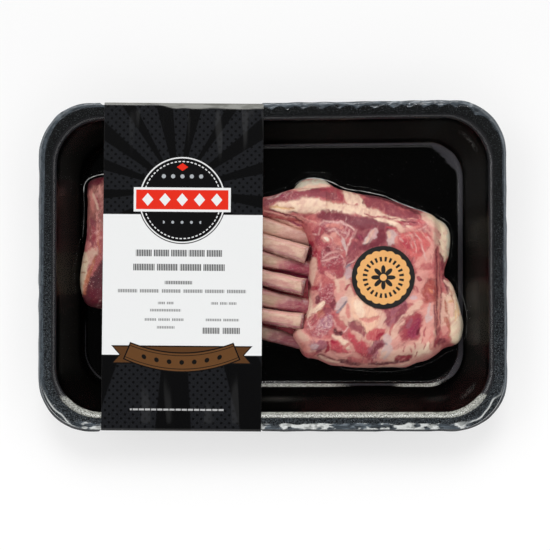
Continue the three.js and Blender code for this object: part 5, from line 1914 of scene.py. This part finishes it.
ray_turn = turn(u - RAYS_FROM[0], v - RAYS_FROM[1]) * RAY_COUNT
uneven = (ray_turn * 0.37 + 0.11).math("FRACT") * 0.16
rays = (((ray_turn + 0.3).math("FRACT") - 0.5).math("ABSOLUTE") + uneven).high(0.38, 0.012)
dot_u = ((u + v) / DOT_PITCH).math("FRACT") - 0.5
dot_v = ((u - v) / DOT_PITCH).math("FRACT") - 0.5
dots = 1 - length(dot_u, dot_v).high(0.22, 0.05)
white_part = v.within((WHITE_FROM + WHITE_TO) / 2, (WHITE_TO - WHITE_FROM) / 2, 0.15)
print_colour = label.layered("1b1c1f", ("060607", dots), ("070708", rays), (PAPER, white_part))
print("fields drawn")

# %% [markdown]
# A round medallion lies over the border of the fields: a dashed ring, a red banner with
# white lozenges, rows of beads and a small red lozenge. It says nothing, and only gives the
# label the weight that such labels have.

# %% Medallion
MEDALLION = (-0.5, 37.0)
MEDALLION_RADIUS = 24.5
BANNER = (54.0, 13.5)
BANNER_BORDER = 1.3
DASHES = 60
LOZENGE_PITCH = 9.6
BEAD_PITCH = 5.2


def lozenge(x, y, half_x, half_y, soft):
    return 1 - (x.math("ABSOLUTE") / half_x + y.math("ABSOLUTE") / half_y).high(1.0, soft)


med_u, med_v = u - MEDALLION[0], v - MEDALLION[1]
from_middle = length(med_u, med_v)
disc = 1 - from_middle.high(MEDALLION_RADIUS, 0.15)
ring_outer = from_middle.within(MEDALLION_RADIUS - 0.9, 0.35, 0.12)
dash = (turn(med_u, med_v) * DASHES).math("FRACT").high(0.42, 0.05)
ring_dashes = from_middle.within(MEDALLION_RADIUS - 3.0, 0.28, 0.12) * dash
banner = rectangle(med_u, med_v, (0, 0.2), BANNER)
banner_core = rectangle(med_u, med_v, (0, 0.2), [side - 2 * BANNER_BORDER for side in BANNER])
lozenges = lozenge(repeated(med_u, LOZENGE_PITCH), med_v - 0.2, 3.1, 3.6, 0.04)
bead_u = repeated(med_u, BEAD_PITCH)
beads = (1 - length(bead_u, med_v - 13.2).high(1.15, 0.12)) * med_u.within(0, 13.2, 0.1)
small_beads = (1 - length(bead_u, med_v + 12.4).high(0.8, 0.12)) * med_u.within(0, 10.6, 0.1)
print_colour = label.layered(
    print_colour,
    (INK, disc),
    (PAPER, ring_outer + ring_dashes),
    (PAPER, banner),
    (SIGNAL_RED, banner_core),
    (PAPER, lozenges * banner_core),
    ("aeb3b7", beads + small_beads),
    (SIGNAL_RED, lozenge(med_u, med_v - 18.4, 3.2, 2.2, 0.05)),
)
print("medallion drawn")

# %% [markdown]
# Where a label has its lines of small print, this one has rows of short bars, finely cut
# across, so that they look grey and busy from a distance like real lines of type.

# %% Bars
# line of bars: (along, height, left, right, bar pitch, gap share, darkness)
BARS = [
    (7.4, 3.7, -26.5, 22.5, 9.8, 0.10, 0.95),
    (-0.5, 3.7, -28.0, 24.0, 13.0, 0.09, 0.95),
    (-9.0, 1.9, -10.0, 5.5, 15.5, 0.02, 0.85),
    (-13.7, 1.9, -36.5, 36.0, 12.1, 0.12, 0.75),
    (-20.4, 1.4, -14.0, -4.5, 4.8, 0.18, 0.7),
    (-20.4, 1.4, 15.5, 30.5, 5.0, 0.16, 0.7),
    (-24.4, 1.4, -18.0, -0.5, 17.4, 0.02, 0.7),
    (-29.6, 1.4, -21.5, 1.5, 7.6, 0.14, 0.7),
    (-29.6, 1.4, 12.5, 32.0, 9.8, 0.1, 0.7),
    (-33.9, 1.4, -14.0, -4.0, 9.9, 0.02, 0.7),
    (-35.6, 3.4, 10.5, 33.0, 11.2, 0.14, 0.9),
]
CUT_PITCH = 0.95

cuts = (u / CUT_PITCH).math("FRACT").within(0.5, 0.34, 0.1)
for middle, tall, left, right, pitch, gap, ink in BARS:
    pieces = ((u - left) / pitch).math("FRACT").within(0.5, 0.5 - gap / 2, 0.02)
    bar = rectangle(u, v, ((left + right) / 2, middle), (right - left, tall)) * pieces
    print_colour = label.blend(print_colour, INK, bar * cuts * ink)
print("rows of bars:", len(BARS))

# %% [markdown]
# A brown ribbon with a row of bosses closes the white field. It sags in the middle, so
# heights on it are measured from a curve. Its tails are wider and end in a notch. Last come
# a thin dashed line at the foot, the painted grey highlight on the folded flap, and the
# band's inner side.

# %% Ribbon
RIBBON_V, RIBBON_HALF, RIBBON_TALL, RIBBON_CURVE = -53.3, 30.0, 9.8, 0.0068
BOSS_PITCH = 7.0

from_curve = v - RIBBON_V - u * u * RIBBON_CURVE
from_tail = v - RIBBON_V - 4.2
tail_width = u.math("ABSOLUTE") - from_tail.math("ABSOLUTE") * 0.9


def ribbon_tails(extra):
    return tail_width.within(0, 34.0 + extra, 0.12) * from_tail.within(0, 4.4 + extra, 0.12)


def ribbon_front(extra):
    half_width = RIBBON_HALF + extra - from_curve * 0.35
    inside = 1 - (u.math("ABSOLUTE") - half_width).high(0, 0.12)
    return inside * from_curve.within(0, RIBBON_TALL / 2 + extra, 0.12)


stripe = from_curve.math("ABSOLUTE").within(3.7, 0.2, 0.1) * ribbon_front(0)
boss = 1 - length(repeated(u, BOSS_PITCH), from_curve).high(1.3, 0.12)
bosses = boss * u.within(0, 24.4, 0.1)
foot_line = rectangle(u, v, (-2.5, -79.5), (52, 1.0)) * (u / 3.4).math("FRACT").within(0.5, 0.42, 0.03)
creased = label.noise(3.0, 2.0, 0.5, (0.25, 1, 1)).high(0.55, 0.08)
print_colour = label.layered(
    print_colour,
    (INK, ribbon_tails(0.7)),
    ("593a21", ribbon_tails(0)),
    (INK, ribbon_front(0.7)),
    ("664427", ribbon_front(0)),
    ("151311", stripe + bosses),
    ("c9c9c9", foot_line * 0.8),
    # painted highlight: grey where the band bends over the back of the rim
    (label.blend("84847f", "65655f", creased), folded),
    ("d9d7d2", inner),
)
label.feed(Base_Color=print_colour)
band.data.materials.append(label.material)
print("band print ready")

# %% [markdown]
# The seal is a round paper sticker. It lies on the film, so its height is read from the
# film, and it has a thin edge of its own.

# %% Seal
SEAL_MIDDLE = (61.6, -6.1)
SEAL_RADIUS = 17.5
SEAL_THICKNESS = 0.16
SEAL_LIFT = 0.06
SEAL_STIFFNESS = 1.6
SEAL_COLUMNS = 128

reach = np.concatenate([np.linspace(0.05, 0.985, 40), [1.0]]) * SEAL_RADIUS
turns = np.arange(SEAL_COLUMNS) / SEAL_COLUMNS * 2 * math.pi


def seal_rows(lift, radii):
    """Rings of the seal on the film, which the stiff paper doesn't follow into each dent."""
    rows = []
    around = (-SEAL_STIFFNESS, 0, SEAL_STIFFNESS)
    for r in radii:
        x = SEAL_MIDDLE[0] + r * np.cos(turns)
        y = SEAL_MIDDLE[1] + r * np.sin(turns)
        near = sum(film_at(x + dx, y + dy) for dx in around for dy in around) / 9
        rows.append(np.column_stack([x, y, np.maximum(near, film_at(x, y)) + lift]))
    return rows


seal_loops = seal_rows(SEAL_LIFT, reach[::-4][::-1])
seal_loops = np.array(seal_loops + seal_rows(SEAL_LIFT + SEAL_THICKNESS, reach[::-1]))
middle_height = float(film_at(*SEAL_MIDDLE)) + 0.1
seal_points, seal_faces = stacked_skin(seal_loops, (*SEAL_MIDDLE, middle_height),
                                       (*SEAL_MIDDLE, middle_height + SEAL_THICKNESS))
seal = make_piece("round_seal", seal_points, seal_faces, None, ["seal"])

# %% [markdown]
# Its print is a black ring round a tan field with a scalloped edge, a rosette of eight
# petals and a ring of ticks, all drawn by the distance from the middle and the angle.

# %% Seal finish
TICKS = 24

paper = Finish("seal_paper", Roughness=0.5, Specular_Ior_Level=0.25)
seal_x, seal_y, _ = paper.axes(paper.place())
su, sv = seal_x / MM - SEAL_MIDDLE[0], seal_y / MM - SEAL_MIDDLE[1]
seal_r = length(su, sv)
seal_turn = sv.math("ARCTAN2", su)
scallops = (seal_turn * 10).math("COSINE").math("ABSOLUTE")
field = 1 - (seal_r - scallops * 0.75).high(14.4, 0.12)
petals = 1 - (seal_r - (seal_turn * 4).math("COSINE").math("ABSOLUTE") * 4.2).high(2.6, 0.12)
eye = 1 - seal_r.high(1.9, 0.12)
ticks = (seal_turn * (TICKS / (2 * math.pi))).math("FRACT").within(0.5, 0.24, 0.03)
tick_ring = seal_r.within(10.2, 1.3, 0.12) * ticks
tan_fibre = paper.noise(1.2, 3.0, 0.6)
tan = paper.blend("efb470", "e4a866", tan_fibre)
black = paper.blend("191716", "232120", tan_fibre)
design = petals * (1 - eye) + tick_ring
paper.feed(Base_Color=paper.blend(black, tan, field * (1 - design.math("MINIMUM", 1.0))))
paper.feed(Normal=paper.bump(tan_fibre, 0.03))
seal.data.materials.append(paper.material)
print("seal ready")
